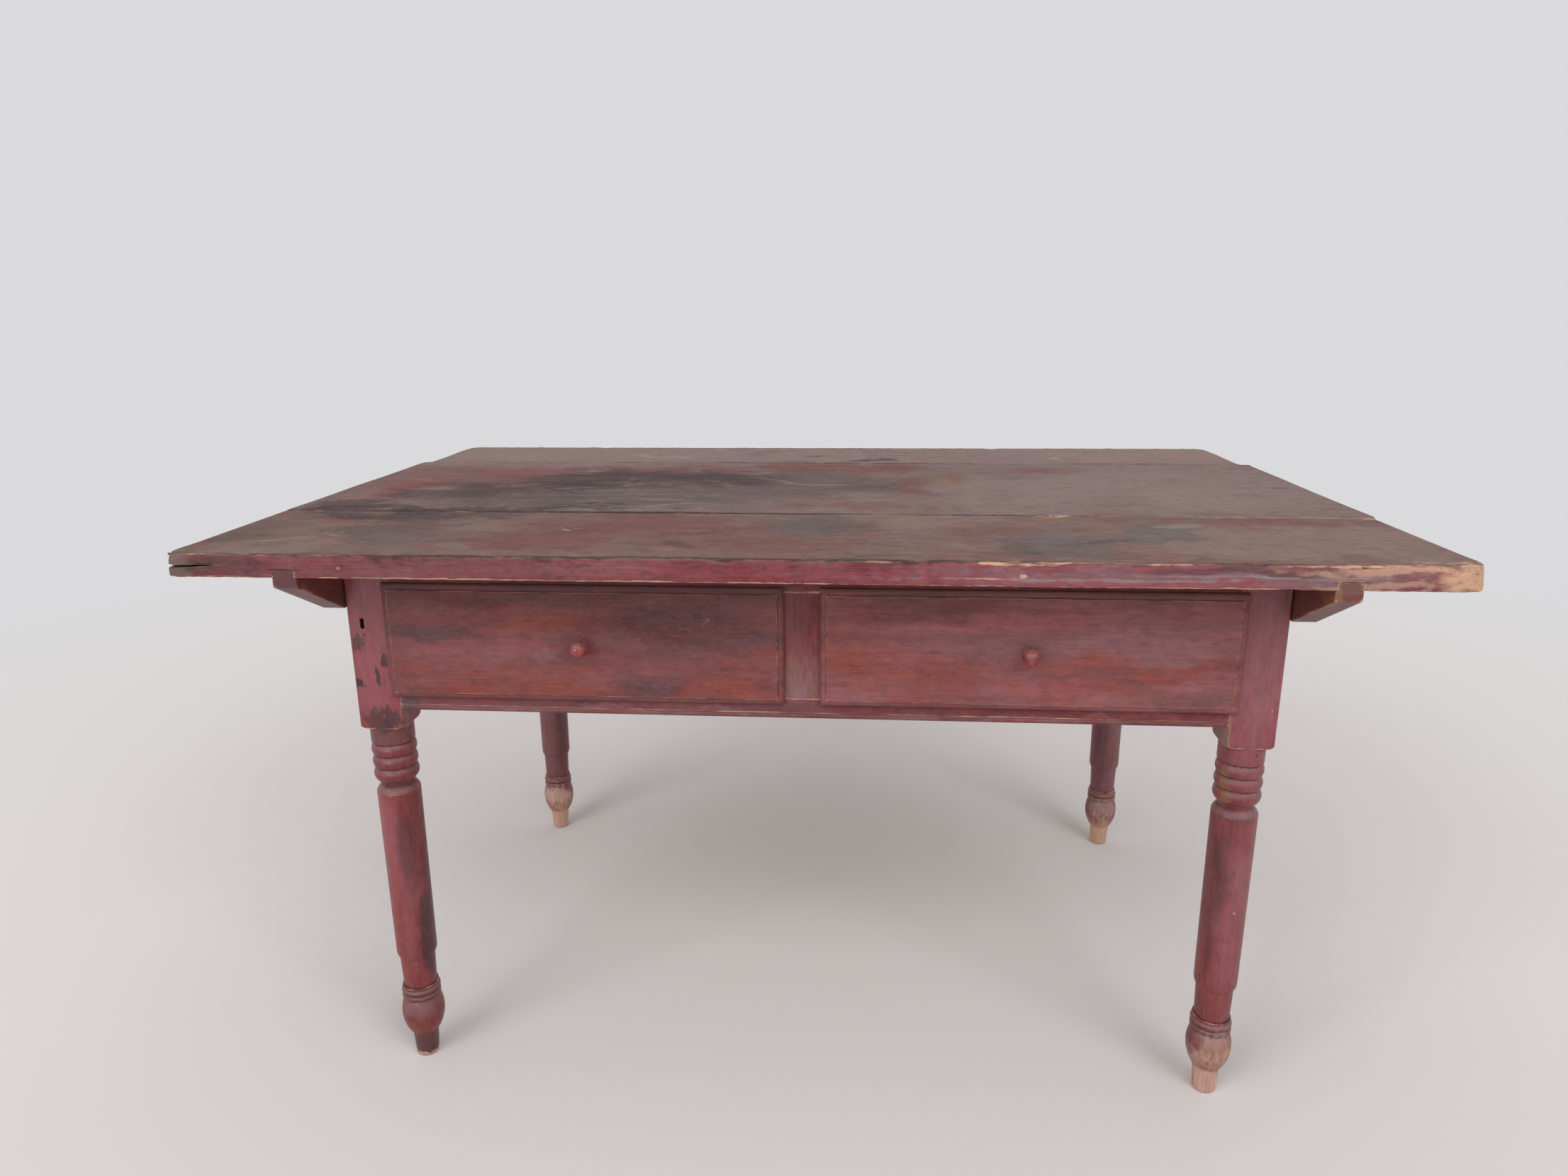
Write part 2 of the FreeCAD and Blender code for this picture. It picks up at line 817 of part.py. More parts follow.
def make_aprons():
    """Make the back apron, both end aprons and the pegs that lock their tenons."""
    apron_z = (rail_bottom, top_underside)
    back = span_box((-inner_x, inner_x), (back_apron_inner, back_apron_outer), apron_z)
    back = back.fuse([back_apron_tenon(), mirrored(back_apron_tenon())])
    for x_span in (left_span, centre_span, right_span):
        back = back.cut(stub_tenon(x_span, back_apron_inner, 1, runner_z))
    back = back.cut(stub_tenon(centre_span, back_apron_inner, 1, kicker_z))
    back = bored(back, back_pegs())
    back = mirrored(bored(mirrored(back), back_pegs()))

    end_apron = span_box((end_apron_inner, end_apron_outer), (-inner_y, inner_y), apron_z)
    end_apron = end_apron.fuse([end_apron_tenon(-1), end_apron_tenon(1)])
    end_apron = bored(end_apron, end_pegs(-1) + end_pegs(1))
    for start, length in batten_pins_right():
        end_apron = end_apron.cut(rod(batten_pin_bore, start, Vector(-1, 0, 0), length))
    save("back_apron", back)
    save("end_apron_right", end_apron)
    save("end_apron_left", mirrored(end_apron))

    right_pegs = peg_solids(end_pegs(-1) + end_pegs(1))
    rear_pegs = peg_solids(back_pegs())
    save("end_apron_pegs", Part.makeCompound(right_pegs + [mirrored(peg) for peg in right_pegs]))
    save("back_apron_pegs", Part.makeCompound(rear_pegs + [mirrored(peg) for peg in rear_pegs]))


# Runners, guides and kickers, which carry and steer the drawers

runner_z = (opening_bottom - runner_height, opening_bottom)
guide_z = (opening_bottom, opening_bottom + guide_height)
kicker_z = (opening_top, opening_top + kicker_height)
right_span = (end_apron_inner - side_runner_width, inner_x)
left_span = (-inner_x, side_runner_width - end_apron_inner)
centre_span = (-centre_runner_width / 2, centre_runner_width / 2)


def side_runner():
    """Make the right runner: tenoned into rail and apron, and wider between the posts."""
    runner = span_box(right_span, (rail_back, back_apron_inner), runner_z)
    runner = runner.fuse(span_box((right_span[0], end_apron_inner), (-inner_y, inner_y), runner_z))
    runner = runner.fuse(stub_tenon(right_span, rail_back, -1, runner_z))
    return runner.fuse(stub_tenon(right_span, back_apron_inner, 1, runner_z))


def make_supports():
    """Make the three runners, three guides and three kickers."""
    centre_runner = span_box(centre_span, (rail_back, back_apron_inner), runner_z)
    centre_runner = centre_runner.fuse(stub_tenon(centre_span, rail_back, -1, runner_z))
    centre_runner = centre_runner.fuse(stub_tenon(centre_span, back_apron_inner, 1, runner_z))
    centre_kicker = span_box(centre_span, (top_rail_back, back_apron_inner), kicker_z)
    centre_kicker = centre_kicker.fuse(stub_tenon(centre_span, top_rail_back, -1, kicker_z))
    centre_kicker = centre_kicker.fuse(stub_tenon(centre_span, back_apron_inner, 1, kicker_z))
    centre_guide = span_box((-stile_half, stile_half), (stile_back, back_apron_inner), guide_z)
    guide = span_box((inner_x, end_apron_inner), (-inner_y, inner_y), guide_z)
    kicker = span_box((right_span[0], end_apron_inner), (-inner_y, inner_y), kicker_z)
    runner = side_runner()
    save("runner_right", runner)
    save("runner_left", mirrored(runner))
    save("runner_centre", centre_runner)
    save("guide_right", guide)
    save("guide_left", mirrored(guide))
    save("guide_centre", centre_guide)
    save("kicker_right", kicker)
    save("kicker_left", mirrored(kicker))
    save("kicker_centre", centre_kicker)


# Drawers, drawn in the right-hand opening

lip_back = front_face - running_gap
lip_face = lip_back - lip_thickness
block_back = lip_back + front_block_thickness
drawer_low_x = stile_half + drawer_side_gap
drawer_high_x = inner_x - drawer_side_gap
side_low_z = opening_bottom + running_gap
side_high_z = opening_top - drawer_side_top_gap
drawer_back_outer = back_apron_inner - drawer_rear_room
drawer_back_inner = drawer_back_outer - drawer_back_thickness
groove_low = side_low_z + bottom_groove_rise
groove_high = groove_low + bottom_groove_height
knob_level = (opening_bottom - lip_bottom_overlap + opening_top + lip_top_overlap) / 2


def tail(x_span, root_y, direction, length, low, high):
    """Make one dovetail tail, which widens from its root towards its tip."""
    narrow = length * tail_slope
    tip_y = root_y + direction * length
    points = [
        Vector(x_span[0], root_y, low + narrow),
        Vector(x_span[0], tip_y, low),
        Vector(x_span[0], tip_y, high),
        Vector(x_span[0], root_y, high - narrow),
    ]
    return prism(points, Vector(x_span[1] - x_span[0], 0, 0))


def drawer_side(low_x):
    """Make a drawer side from its inner or outer face at low_x, with tails at both ends."""
    x_span = (low_x, low_x + drawer_side_thickness)
    side = span_box(x_span, (block_back, drawer_back_inner), (side_low_z, side_high_z))
    pitch = (side_high_z - side_low_z) / tail_count
    for index in range(tail_count):
        low = side_low_z + index * pitch + tail_pin_width / 2
        high = low + pitch - tail_pin_width
        side = side.fuse(tail(x_span, block_back, -1, front_tail_length, low, high))
        side = side.fuse(tail(x_span, drawer_back_inner, 1, drawer_back_thickness, low, high))
    return side


def grooved(side, inner_face, into):
    """Cut the groove for the bottom along a side; into is the way from the inner face into the wood."""
    deep = inner_face + into * bottom_groove_depth
    proud = inner_face - into * overrun
    cut = span_box(
        (min(deep, proud), max(deep, proud)),
        (block_back - front_tail_length - overrun, drawer_back_outer + overrun),
        (groove_low, groove_high),
    )
    return side.cut(cut)


def moulding_waste(place):
    """List the outline of the waste that leaves a stepped thumbnail along one edge of a drawer front.

    place turns a distance in from the edge and a depth below the face into a point.
    """
    edge_depth = lip_thickness - lip_edge_thickness
    step = place(moulding_width, moulding_step)
    return [
        quarter_round(step, place(0, moulding_step), place(0, edge_depth)),
        line(place(0, edge_depth), place(-overrun, edge_depth)),
        line(place(-overrun, edge_depth), place(-overrun, -overrun)),
        line(place(-overrun, -overrun), place(moulding_width, -overrun)),
        line(place(moulding_width, -overrun), step),
    ]


def lipped_plate(x_span, z_span):
    """Make the proud plate of a drawer front, with a stepped thumbnail moulding on all four edges."""
    low_x, high_x = x_span
    low_z, high_z = z_span
    plate = span_box(x_span, (lip_face, lip_back), z_span)
    across = Vector(high_x - low_x + 2 * overrun, 0, 0)
    upward = Vector(0, 0, high_z - low_z + 2 * overrun)
    start_x = low_x - overrun
    start_z = low_z - overrun
    runs = [
        (lambda inset, depth: Vector(start_x, lip_face + depth, high_z - inset), across),
        (lambda inset, depth: Vector(start_x, lip_face + depth, low_z + inset), across),
        (lambda inset, depth: Vector(low_x + inset, lip_face + depth, start_z), upward),
        (lambda inset, depth: Vector(high_x - inset, lip_face + depth, start_z), upward),
    ]
    for place, run in runs:
        plate = plate.cut(solid_of(moulding_waste(place), run))
    return plate


def drawer_front(sides):
    """Make the drawer front: lipped plate, block in the opening, sockets, groove and knob hole."""
    lip_x = (stile_half - lip_side_overlap, inner_x + lip_side_overlap)
    lip_z = (opening_bottom - lip_bottom_overlap, opening_top + lip_top_overlap)
    block_z = (opening_bottom + drawer_front_gap, opening_top - drawer_front_gap)
    front = lipped_plate(lip_x, lip_z)
    front = front.fuse(span_box((drawer_low_x, drawer_high_x), (lip_back, block_back), block_z))
    for side in sides:
        front = front.cut(side)
    front = front.cut(
        span_box(
            (drawer_low_x + drawer_side_thickness - bottom_groove_depth,
             drawer_high_x - drawer_side_thickness + bottom_groove_depth),
            (block_back - bottom_groove_depth, block_back + overrun),
            (groove_low, groove_high),
        )
    )
    mouth = Vector(opening_middle, lip_face - overrun, knob_level)
    length = lip_thickness + front_block_thickness + 2 * overrun
    return front.cut(rod(knob_tenon_diameter + 2 * peg_clearance, mouth, Vector(0, 1, 0), length))


def drawer_back(sides):
    """Make the drawer back, which stands on the bottom between the sides' tails."""
    back = span_box(
        (drawer_low_x, drawer_high_x),
        (drawer_back_inner, drawer_back_outer),
        (groove_high, side_high_z - drawer_back_drop),
    )
    for side in sides:
        back = back.cut(side)
    return back


def drawer_bottom():
    """Make the bottom panel, bevelled below on three edges to enter the grooves."""
    slack = bottom_groove_depth - joint_clearance
    x_span = (
        drawer_low_x + drawer_side_thickness - slack,
        drawer_high_x - drawer_side_thickness + slack,
    )
    front_y = block_back - slack
    z_high = groove_high
    z_low = z_high - bottom_panel_thickness
    edge_low = groove_low + bottom_fit
    panel = span_box(x_span, (front_y, drawer_back_outer), (z_low, z_high))
    flat = bottom_groove_depth + joint_clearance
    far = flat + bottom_bevel_width

    def waste(place, run):
        """Make the waste below one bevelled edge; place turns (inset, level) into a point."""
        below = z_low - overrun
        outline = [
            place(-overrun, below),
            place(-overrun, edge_low),
            place(flat, edge_low),
            place(far, z_low),
            place(far, below),
        ]
        return prism(outline, run)

    start_x = x_span[0] - overrun
    start_y = front_y - overrun
    across = Vector(x_span[1] - x_span[0] + 2 * overrun, 0, 0)
    along = Vector(0, drawer_back_outer - front_y + 2 * overrun, 0)
    runs = [
        (lambda inset, level: Vector(x_span[0] + inset, start_y, level), along),
        (lambda inset, level: Vector(x_span[1] - inset, start_y, level), along),
        (lambda inset, level: Vector(start_x, front_y + inset, level), across),
    ]
    for place, run in runs:
        panel = panel.cut(waste(place, run))
    return panel


def knob():
    """Make the turned knob: collar, neck, ball and the tenon through the drawer front."""
    def point(radius, reach):
        """Place a point of the half outline; reach runs out from the drawer's face."""
        return Vector(opening_middle + radius, lip_face - reach, knob_level)

    collar = knob_collar_diameter / 2
    neck = knob_neck_diameter / 2
    ball = knob_ball_diameter / 2
    tenon = knob_tenon_diameter / 2
    tenon_end = -(lip_thickness + front_block_thickness)
    ball_start = knob_ball_reach - math.sqrt(ball * ball - neck * neck)
    rim = point(collar, knob_collar_height - knob_collar_ease)
    top = point(collar - knob_collar_ease, knob_collar_height)
    waist = point(neck, knob_neck_reach)
    edges = [
        line(point(0, tenon_end), point(tenon, tenon_end)),
        line(point(tenon, tenon_end), point(tenon, 0)),
        line(point(tenon, 0), point(collar, 0)),
        line(point(collar, 0), rim),
        quarter_round(rim, point(collar, knob_collar_height), top),
        quarter_round(top, point(neck, knob_collar_height), waist),
        line(waist, point(neck, ball_start)),
        arc(point(neck, ball_start), point(ball, knob_ball_reach), point(0, knob_ball_reach + ball)),
        line(point(0, knob_ball_reach + ball), point(0, tenon_end)),
    ]
    axis = Vector(opening_middle, lip_face, knob_level)
    return Part.Face(Part.Wire(edges)).revolve(axis, Vector(0, 1, 0), 360)


def make_drawers():
    """Make the six pieces of each drawer."""
    inner_side = drawer_side(drawer_low_x)
    outer_side = drawer_side(drawer_high_x - drawer_side_thickness)
    sides = [inner_side, outer_side]
    pieces = {
        "front": drawer_front(sides),
        "inner_side": grooved(inner_side, drawer_low_x + drawer_side_thickness, -1),
        "outer_side": grooved(outer_side, drawer_high_x - drawer_side_thickness, 1),
        "back": drawer_back(sides),
        "bottom": drawer_bottom(),
        "knob": knob(),
    }
    for name, shape in pieces.items():
        save("right_drawer_" + name, shape)
        save("left_drawer_" + name, mirrored(shape))


make_top()
make_battens()
make_legs()
make_rails()
make_aprons()
make_supports()
make_drawers()
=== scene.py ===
"""Country farm table in old red paint: its finishes, its worn boards, the studio and the camera.

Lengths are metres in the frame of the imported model, with +X along the table to the right,
+Y from the drawers to the back and +Z up. Sizes of patterns and places of stains are given
in millimetres, as they are measured on the wood, and are turned to metres where they are used.
"""

import logging
import math
from dataclasses import dataclass
from enum import Enum
from typing import Any

import bpy
from mathutils import Matrix, Vector


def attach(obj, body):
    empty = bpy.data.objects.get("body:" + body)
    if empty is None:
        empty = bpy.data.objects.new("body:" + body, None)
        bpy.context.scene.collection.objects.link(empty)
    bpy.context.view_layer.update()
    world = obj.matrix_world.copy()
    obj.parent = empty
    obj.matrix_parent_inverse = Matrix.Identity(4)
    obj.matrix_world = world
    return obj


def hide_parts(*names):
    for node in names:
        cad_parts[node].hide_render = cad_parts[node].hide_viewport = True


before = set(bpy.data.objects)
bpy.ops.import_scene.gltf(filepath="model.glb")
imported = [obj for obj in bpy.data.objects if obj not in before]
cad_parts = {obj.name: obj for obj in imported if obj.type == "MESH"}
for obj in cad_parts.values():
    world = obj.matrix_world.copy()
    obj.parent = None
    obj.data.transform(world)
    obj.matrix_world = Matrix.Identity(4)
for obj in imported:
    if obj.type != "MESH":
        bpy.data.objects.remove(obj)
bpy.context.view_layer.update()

log = logging.getLogger("farm_table")

MM = 0.001

# Faces that several pieces share, in millimetres
TOP_FACE = 730.0
TOP_UNDERSIDE = 703.0
FRONT_FACE = -352.0


class Hand(Enum):
    """The side of the table that a piece is on, with its sign along X."""

    LEFT = -1
    RIGHT = 1


class Grain(Enum):
    """The way the wood's fibres run in a piece."""

    ALONG_X = (1.0, 0.0, 0.0)
    ALONG_Y = (0.0, 1.0, 0.0)
    ALONG_Z = (0.0, 0.0, 1.0)

    def stretched(self, stretch: float) -> tuple[float, float, float]:
        """Give the scale that draws a pattern out along the fibres.

        Args:
            stretch: how many times longer than wide the pattern is.

        Returns:
            The scale on each axis.
        """
        return tuple(1.0 + axis * (1.0 / stretch - 1.0) for axis in self.value)


class Tone(Enum):
    """The tones of the paint, the dirt and painted shade, the wood and the studio, as sRGB hex values."""

    KNOB_RED = "#b44c46"
    RASPBERRY = "#88373f"
    LEG_RED = "#91353d"
    FADED_RASPBERRY = "#a0575f"
    BRICK = "#8a3c33"
    ORANGE_RED = "#9a432f"
    OXBLOOD = "#54272a"
    PLUM = "#412a30"
    DUSTY_PINK = "#8b6c70"
    MAUVE_GREY = "#7a6b65"
    DRAB = "#8b7a6b"
    OLIVE = "#695b47"
    CHARCOAL = "#211f1c"
    SLATE = "#585a57"
    FADED_RED = "#6d3833"
    PALE_DUST = "#a59890"
    RUST = "#8a4a2c"
    OCHRE = "#966b45"
    WORN_PINE = "#cba488"
    WORN_PINE_DARK = "#a8785a"
    PINK_PINE = "#dcb8a6"
    PINK_PINE_DARK = "#c1937f"
    PALE_PINE = "#d4a987"
    WORN_BROWN = "#6e554b"
    PALE_MAUVE = "#867670"
    DRAWER_RED = "#8e4c4d"
    FADED_DRAWER_RED = "#a56062"
    UMBER_STAIN = "#453c34"
    SMOKE = "#534843"
    AGED_PINE = "#a27e56"
    AGED_PINE_DARK = "#7d5c3c"
    GRIME_AND_SHADE = "#2b2022"
    PALE_FLOOR = "#d3cfce"
    PALE_AIR = "#dadadc"
    DAYLIGHT = "#fffefd"


def linear(tone: Tone) -> tuple[float, float, float, float]:
    """Turn an sRGB hex tone into the linear colour that a shader takes.

    Args:
        tone: the tone.

    Returns:
        Red, green, blue and an alpha of 1.
    """
    channels = [int(tone.value[start:start + 2], 16) / 255.0 for start in (1, 3, 5)]
    return tuple(
        value / 12.92 if value <= 0.04045 else ((value + 0.055) / 1.055) ** 2.4 for value in channels
    ) + (1.0,)


def add_node(
    tree: bpy.types.NodeTree, kind: str, inputs: dict[str | int, Any] | None = None, **settings: Any
) -> bpy.types.Node:
    """Add one shader node with its settings, values and links.

    Args:
        tree: the node tree that takes it.
        kind: the node's type name.
        inputs: a value or an output socket for each input, by name or number.
        settings: the node's own properties.

    Returns:
        The new node.
    """
    node = tree.nodes.new(kind)
    for name, value in settings.items():
        setattr(node, name, value)
    for name, value in (inputs or {}).items():
        if isinstance(value, bpy.types.NodeSocket):
            tree.links.new(value, node.inputs[name])
        else:
            node.inputs[name].default_value = value
    return node


@dataclass(frozen=True)
class Layer:
    """A colour that lies on the one below in clouds or streaks of noise.

    size is the width of a cloud in millimetres, and stretch says how many times longer it is
    along the grain. cover is the share of the surface that it takes, edge how softly it ends.
    tone is None where the noise only breaks up a mask.
    """

    tone: Tone | None
    size: float
    cover: float
    stretch: float = 1.0
    edge: float = 0.08
    strength: float = 1.0
    detail: float = 4.0
    seed: float = 0.0


@dataclass(frozen=True)
class Fleck:
    """Small chips, scratches or specks, one to a cell at most.

    spacing is the cell's width in millimetres, radius the largest chip's, share how many of the
    cells have one, and stretch how much longer a chip is along the grain.
    """

    tone: Tone
    spacing: float
    radius: float
    share: float
    stretch: float = 1.0
    seed: float = 0.0


@dataclass(frozen=True)
class Patch:
    """A stain or worn place: an uneven ellipsoid, placed and sized in millimetres.

    turn gives its angles about the three axes, in degrees, and wander how unevenly its outline
    runs: 1 for a broad stain, and near 0 for a line that follows a joint. broken says how far
    its edge breaks up into flakes and islands. tone is None for a bare place, where the wood
    shows.
    """

    tone: Tone | None
    at: tuple[float, float, float]
    half: tuple[float, float, float]
    strength: float = 0.8
    edge: float = 0.35
    turn: tuple[float, float, float] = (0.0, 0.0, 0.0)
    wander: float = 1.0
    broken: float = 0.4


@dataclass(frozen=True)
class Side:
    """A painted side of a piece: all that lies past a place, in millimetres, on one axis."""

    axis: str
    place: float
    towards: int


class Surface:
    """A surface that is built up from the wood outwards, as node sockets in one tree.

    A wander is a width and a reach in millimetres. Noise keeps to the middle of its range, so
    each gain says how far it is spread: drift_gain where it pushes outlines about, cover_gain
    where a cover becomes a value of the noise, flake_gain where it breaks an outline up and
    break_gain where it breaks up wear. Reliefs and the soft line at the end of the paint are
    in millimetres.
    """

    broad_wander = (90.0, 34.0)
    fine_wander = (14.0, 7.0)
    flake_size = 7.0
    flake_stretch = 2.6
    drift_gain = 4.0
    cover_gain = 0.32
    flake_gain = 3.0
    break_gain = 0.6
    wear_starts = 1.25
    wear_full = 1.4
    smallest_chip = 0.35
    paint_line = 0.4
    ring_stretch = 28.0
    ring_relief = 0.18
    fibre_relief = 0.10
    wood_roughness = 0.72

    def __init__(self, name: str, grain: Grain) -> None:
        """Start an empty material with the places that its patterns follow.

        Args:
            name: the material's name.
            grain: the way the fibres run.
        """
        self.grain = grain
        self.material = bpy.data.materials.new(name)
        self.material.use_nodes = True
        self.tree = self.material.node_tree
        self.tree.nodes.clear()
        self.place = add_node(self.tree, "ShaderNodeTexCoord").outputs["Object"]
        self.normal = add_node(self.tree, "ShaderNodeNewGeometry").outputs["Normal"]
        self.wander = self.drift(self.drift(None, *self.broad_wander), *self.fine_wander)
        self.flakes = add_node(
            self.tree, "ShaderNodeTexNoise",
            {
                "Vector": self.streaked(self.flake_size, self.flake_stretch, 0.0),
                "Scale": 1.0,
                "Detail": 6.0,
                "Roughness": 0.62,
            },
        ).outputs[0]
        self.colour: bpy.types.NodeSocket | None = None
        self.height: bpy.types.NodeSocket | None = None
        self.roughness: bpy.types.NodeSocket | None = None

    def drift(self, so_far: bpy.types.NodeSocket | None, size: float, reach: float) -> bpy.types.NodeSocket:
        """Work out how noise pushes places about, so that what is drawn on them has uneven edges.

        Args:
            so_far: a drift that this one adds to, or None.
            size: the width of one wander, in millimetres.
            reach: how far it wanders, in millimetres.

        Returns:
            The drift of each place.
        """
        cloud = add_node(
            self.tree, "ShaderNodeTexNoise",
            {"Vector": self.place, "Scale": 1.0 / (size * MM), "Detail": 3.0},
        )
        centred = add_node(
            self.tree, "ShaderNodeVectorMath",
            {0: cloud.outputs["Color"], 1: (0.5, 0.5, 0.5)}, operation="SUBTRACT",
        )
        scaled = add_node(
            self.tree, "ShaderNodeVectorMath",
            {0: centred.outputs[0], "Scale": self.drift_gain * reach * MM}, operation="SCALE",
        )
        if so_far is None:
            return scaled.outputs[0]
        return add_node(
            self.tree, "ShaderNodeVectorMath", {0: so_far, 1: scaled.outputs[0]}, operation="ADD",
        ).outputs[0]

    def streaked(self, size: float, stretch: float, seed: float) -> bpy.types.NodeSocket:
        """Scale the places so that one unit of noise is one feature, drawn out along the grain.

        Args:
            size: the feature's width in millimetres.
            stretch: how many times longer it is.
            seed: a shift that makes this pattern unlike another of its size.

        Returns:
            The scaled places.
        """
        scale = [axis / (size * MM) for axis in self.grain.stretched(stretch)]
        return add_node(
            self.tree, "ShaderNodeMapping",
            {"Vector": self.place, "Location": (seed, 1.7 * seed, 2.3 * seed), "Scale": scale},
        ).outputs[0]

    def cloud_mask(self, layer: Layer) -> bpy.types.NodeSocket:
        """Draw where a layer of noise lies.

        Args:
            layer: the layer.

        Returns:
            A mask from 0 to the layer's strength.
        """
        cloud = add_node(
            self.tree, "ShaderNodeTexNoise",
            {
                "Vector": self.streaked(layer.size, layer.stretch, layer.seed),
                "Scale": 1.0,
                "Detail": layer.detail,
                "Roughness": 0.6,
            },
        )
        middle = 0.5 + self.cover_gain * (0.5 - layer.cover)
        return add_node(
            self.tree, "ShaderNodeMapRange",
            {
                "Value": cloud.outputs[0],
                "From Min": middle - layer.edge,
                "From Max": middle + layer.edge,
                "To Max": layer.strength,
            },
            interpolation_type="SMOOTHSTEP",
        ).outputs[0]

    def patch_mask(self, patch: Patch) -> bpy.types.NodeSocket:
        """Draw where a patch lies.

        Only a turned patch has a Mapping node: with one for each of many patches, Cycles runs
        out of room for the values of one material.

        Args:
            patch: the patch.

        Returns:
            A mask from 0 to the patch's strength.
        """
        drifted = add_node(
            self.tree, "ShaderNodeVectorMath",
            {0: self.wander, 1: [patch.wander] * 3, 2: self.place}, operation="MULTIPLY_ADD",
        )
        if any(patch.turn):
            placed = add_node(
                self.tree, "ShaderNodeMapping",
                {
                    "Vector": drifted.outputs[0],
                    "Location": [value * MM for value in patch.at],
                    "Rotation": [math.radians(angle) for angle in patch.turn],
                    "Scale": [value * MM for value in patch.half],
                },
                vector_type="TEXTURE",
            )
        else:
            placed = add_node(
                self.tree, "ShaderNodeVectorMath",
                {
                    0: drifted.outputs[0],
                    1: [1.0 / (half * MM) for half in patch.half],
                    2: [-at / half for at, half in zip(patch.at, patch.half)],
                },
                operation="MULTIPLY_ADD",
            )
        reach = add_node(self.tree, "ShaderNodeVectorMath", {0: placed.outputs[0]}, operation="LENGTH")
        ragged = add_node(
            self.tree, "ShaderNodeMath",
            {0: self.flakes, 1: self.flake_gain * patch.broken, 2: reach.outputs["Value"]},
            operation="MULTIPLY_ADD",
        ).outputs[0]
        rim = 1.0 + 0.5 * self.flake_gain * patch.broken
        return add_node(
            self.tree, "ShaderNodeMapRange",
            {
                "Value": ragged,
                "From Min": rim + patch.edge,
                "From Max": rim - patch.edge,
                "To Max": patch.strength,
            },
            interpolation_type="SMOOTHSTEP",
        ).outputs[0]

    def fleck_mask(self, fleck: Fleck) -> bpy.types.NodeSocket:
        """Draw where chips or scratches lie.

        Args:
            fleck: the chips.

        Returns:
            A mask from 0 to 1.
        """
        cells = add_node(
            self.tree, "ShaderNodeTexVoronoi",
            {"Vector": self.streaked(fleck.spacing, fleck.stretch, fleck.seed), "Scale": 1.0},
        )
        chances = add_node(self.tree, "ShaderNodeSeparateColor", {0: cells.outputs["Color"]})
        chosen = add_node(
            self.tree, "ShaderNodeMath",
            {0: chances.outputs[0], 1: fleck.share}, operation="LESS_THAN",
        )
        radius = fleck.radius / fleck.spacing
        size = add_node(
            self.tree, "ShaderNodeMapRange",
            {"Value": chances.outputs[1], "To Min": self.smallest_chip * radius, "To Max": radius},
        )
        inside = add_node(
            self.tree, "ShaderNodeMath",
            {0: cells.outputs["Distance"], 1: size.outputs[0]}, operation="LESS_THAN",
        )
        return add_node(
            self.tree, "ShaderNodeMath",
            {0: chosen.outputs[0], 1: inside.outputs[0]}, operation="MULTIPLY",
        ).outputs[0]

    def side_mask(self, sides: tuple[Side, ...]) -> bpy.types.NodeSocket:
        """Draw which part of a piece was painted.

        Args:
            sides: the painted sides, at least one.

        Returns:
            A mask from 0 to 1.
        """
        axes = add_node(self.tree, "ShaderNodeSeparateXYZ", {0: self.place})
        return self.merged([
            add_node(
                self.tree, "ShaderNodeMapRange",
                {
                    "Value": axes.outputs[side.axis],
                    "From Min": (side.place - side.towards * self.paint_line) * MM,
                    "From Max": (side.place + side.towards * self.paint_line) * MM,
                },
            ).outputs[0]
            for side in sides
        ])

    def merged(self, masks: list[bpy.types.NodeSocket]) -> bpy.types.NodeSocket:
        """Join several masks to one.

        Args:
            masks: the masks, at least one.

        Returns:
            The strongest of them at each place.
        """
        whole = masks[0]
        for mask in masks[1:]:
            whole = add_node(self.tree, "ShaderNodeMath", {0: whole, 1: mask}, operation="MAXIMUM").outputs[0]
        return whole

    def lay(self, tone: Tone | bpy.types.NodeSocket, mask: bpy.types.NodeSocket | float) -> None:
        """Lay a tone over the colour so far.

        Args:
            tone: the tone, or the socket of another colour.
            mask: where and how strongly it lies.
        """
        over = linear(tone) if isinstance(tone, Tone) else tone
        under = over if self.colour is None else self.colour
        self.colour = add_node(
            self.tree, "ShaderNodeMix", {0: mask, 6: under, 7: over}, data_type="RGBA",
        ).outputs[2]

    def lay_cloud(self, layer: Layer) -> bpy.types.NodeSocket:
        """Lay a layer of noise over the colour so far.

        Args:
            layer: the layer.

        Returns:
            The mask of where it lies.
        """
        mask = self.cloud_mask(layer)
        self.lay(layer.tone, mask)
        return mask

    def raise_by(self, mask: bpy.types.NodeSocket, millimetres: float) -> None:
        """Raise or sink the surface where a mask is white.

        Args:
            mask: where.
            millimetres: how far, below 0 to sink.
        """
        step = add_node(self.tree, "ShaderNodeMath", {0: mask, 1: millimetres}, operation="MULTIPLY")
        if self.height is not None:
            step = add_node(
                self.tree, "ShaderNodeMath", {0: self.height, 1: step.outputs[0]}, operation="ADD",
            )
        self.height = step.outputs[0]

    def roughen(self, roughness: float, mask: bpy.types.NodeSocket | float) -> None:
        """Bring the roughness to a value where a mask is white.

        Args:
            roughness: the value.
            mask: where and how far.
        """
        under = roughness if self.roughness is None else self.roughness
        self.roughness = add_node(
            self.tree, "ShaderNodeMix", {0: mask, 2: under, 3: roughness}, data_type="FLOAT",
        ).outputs[0]

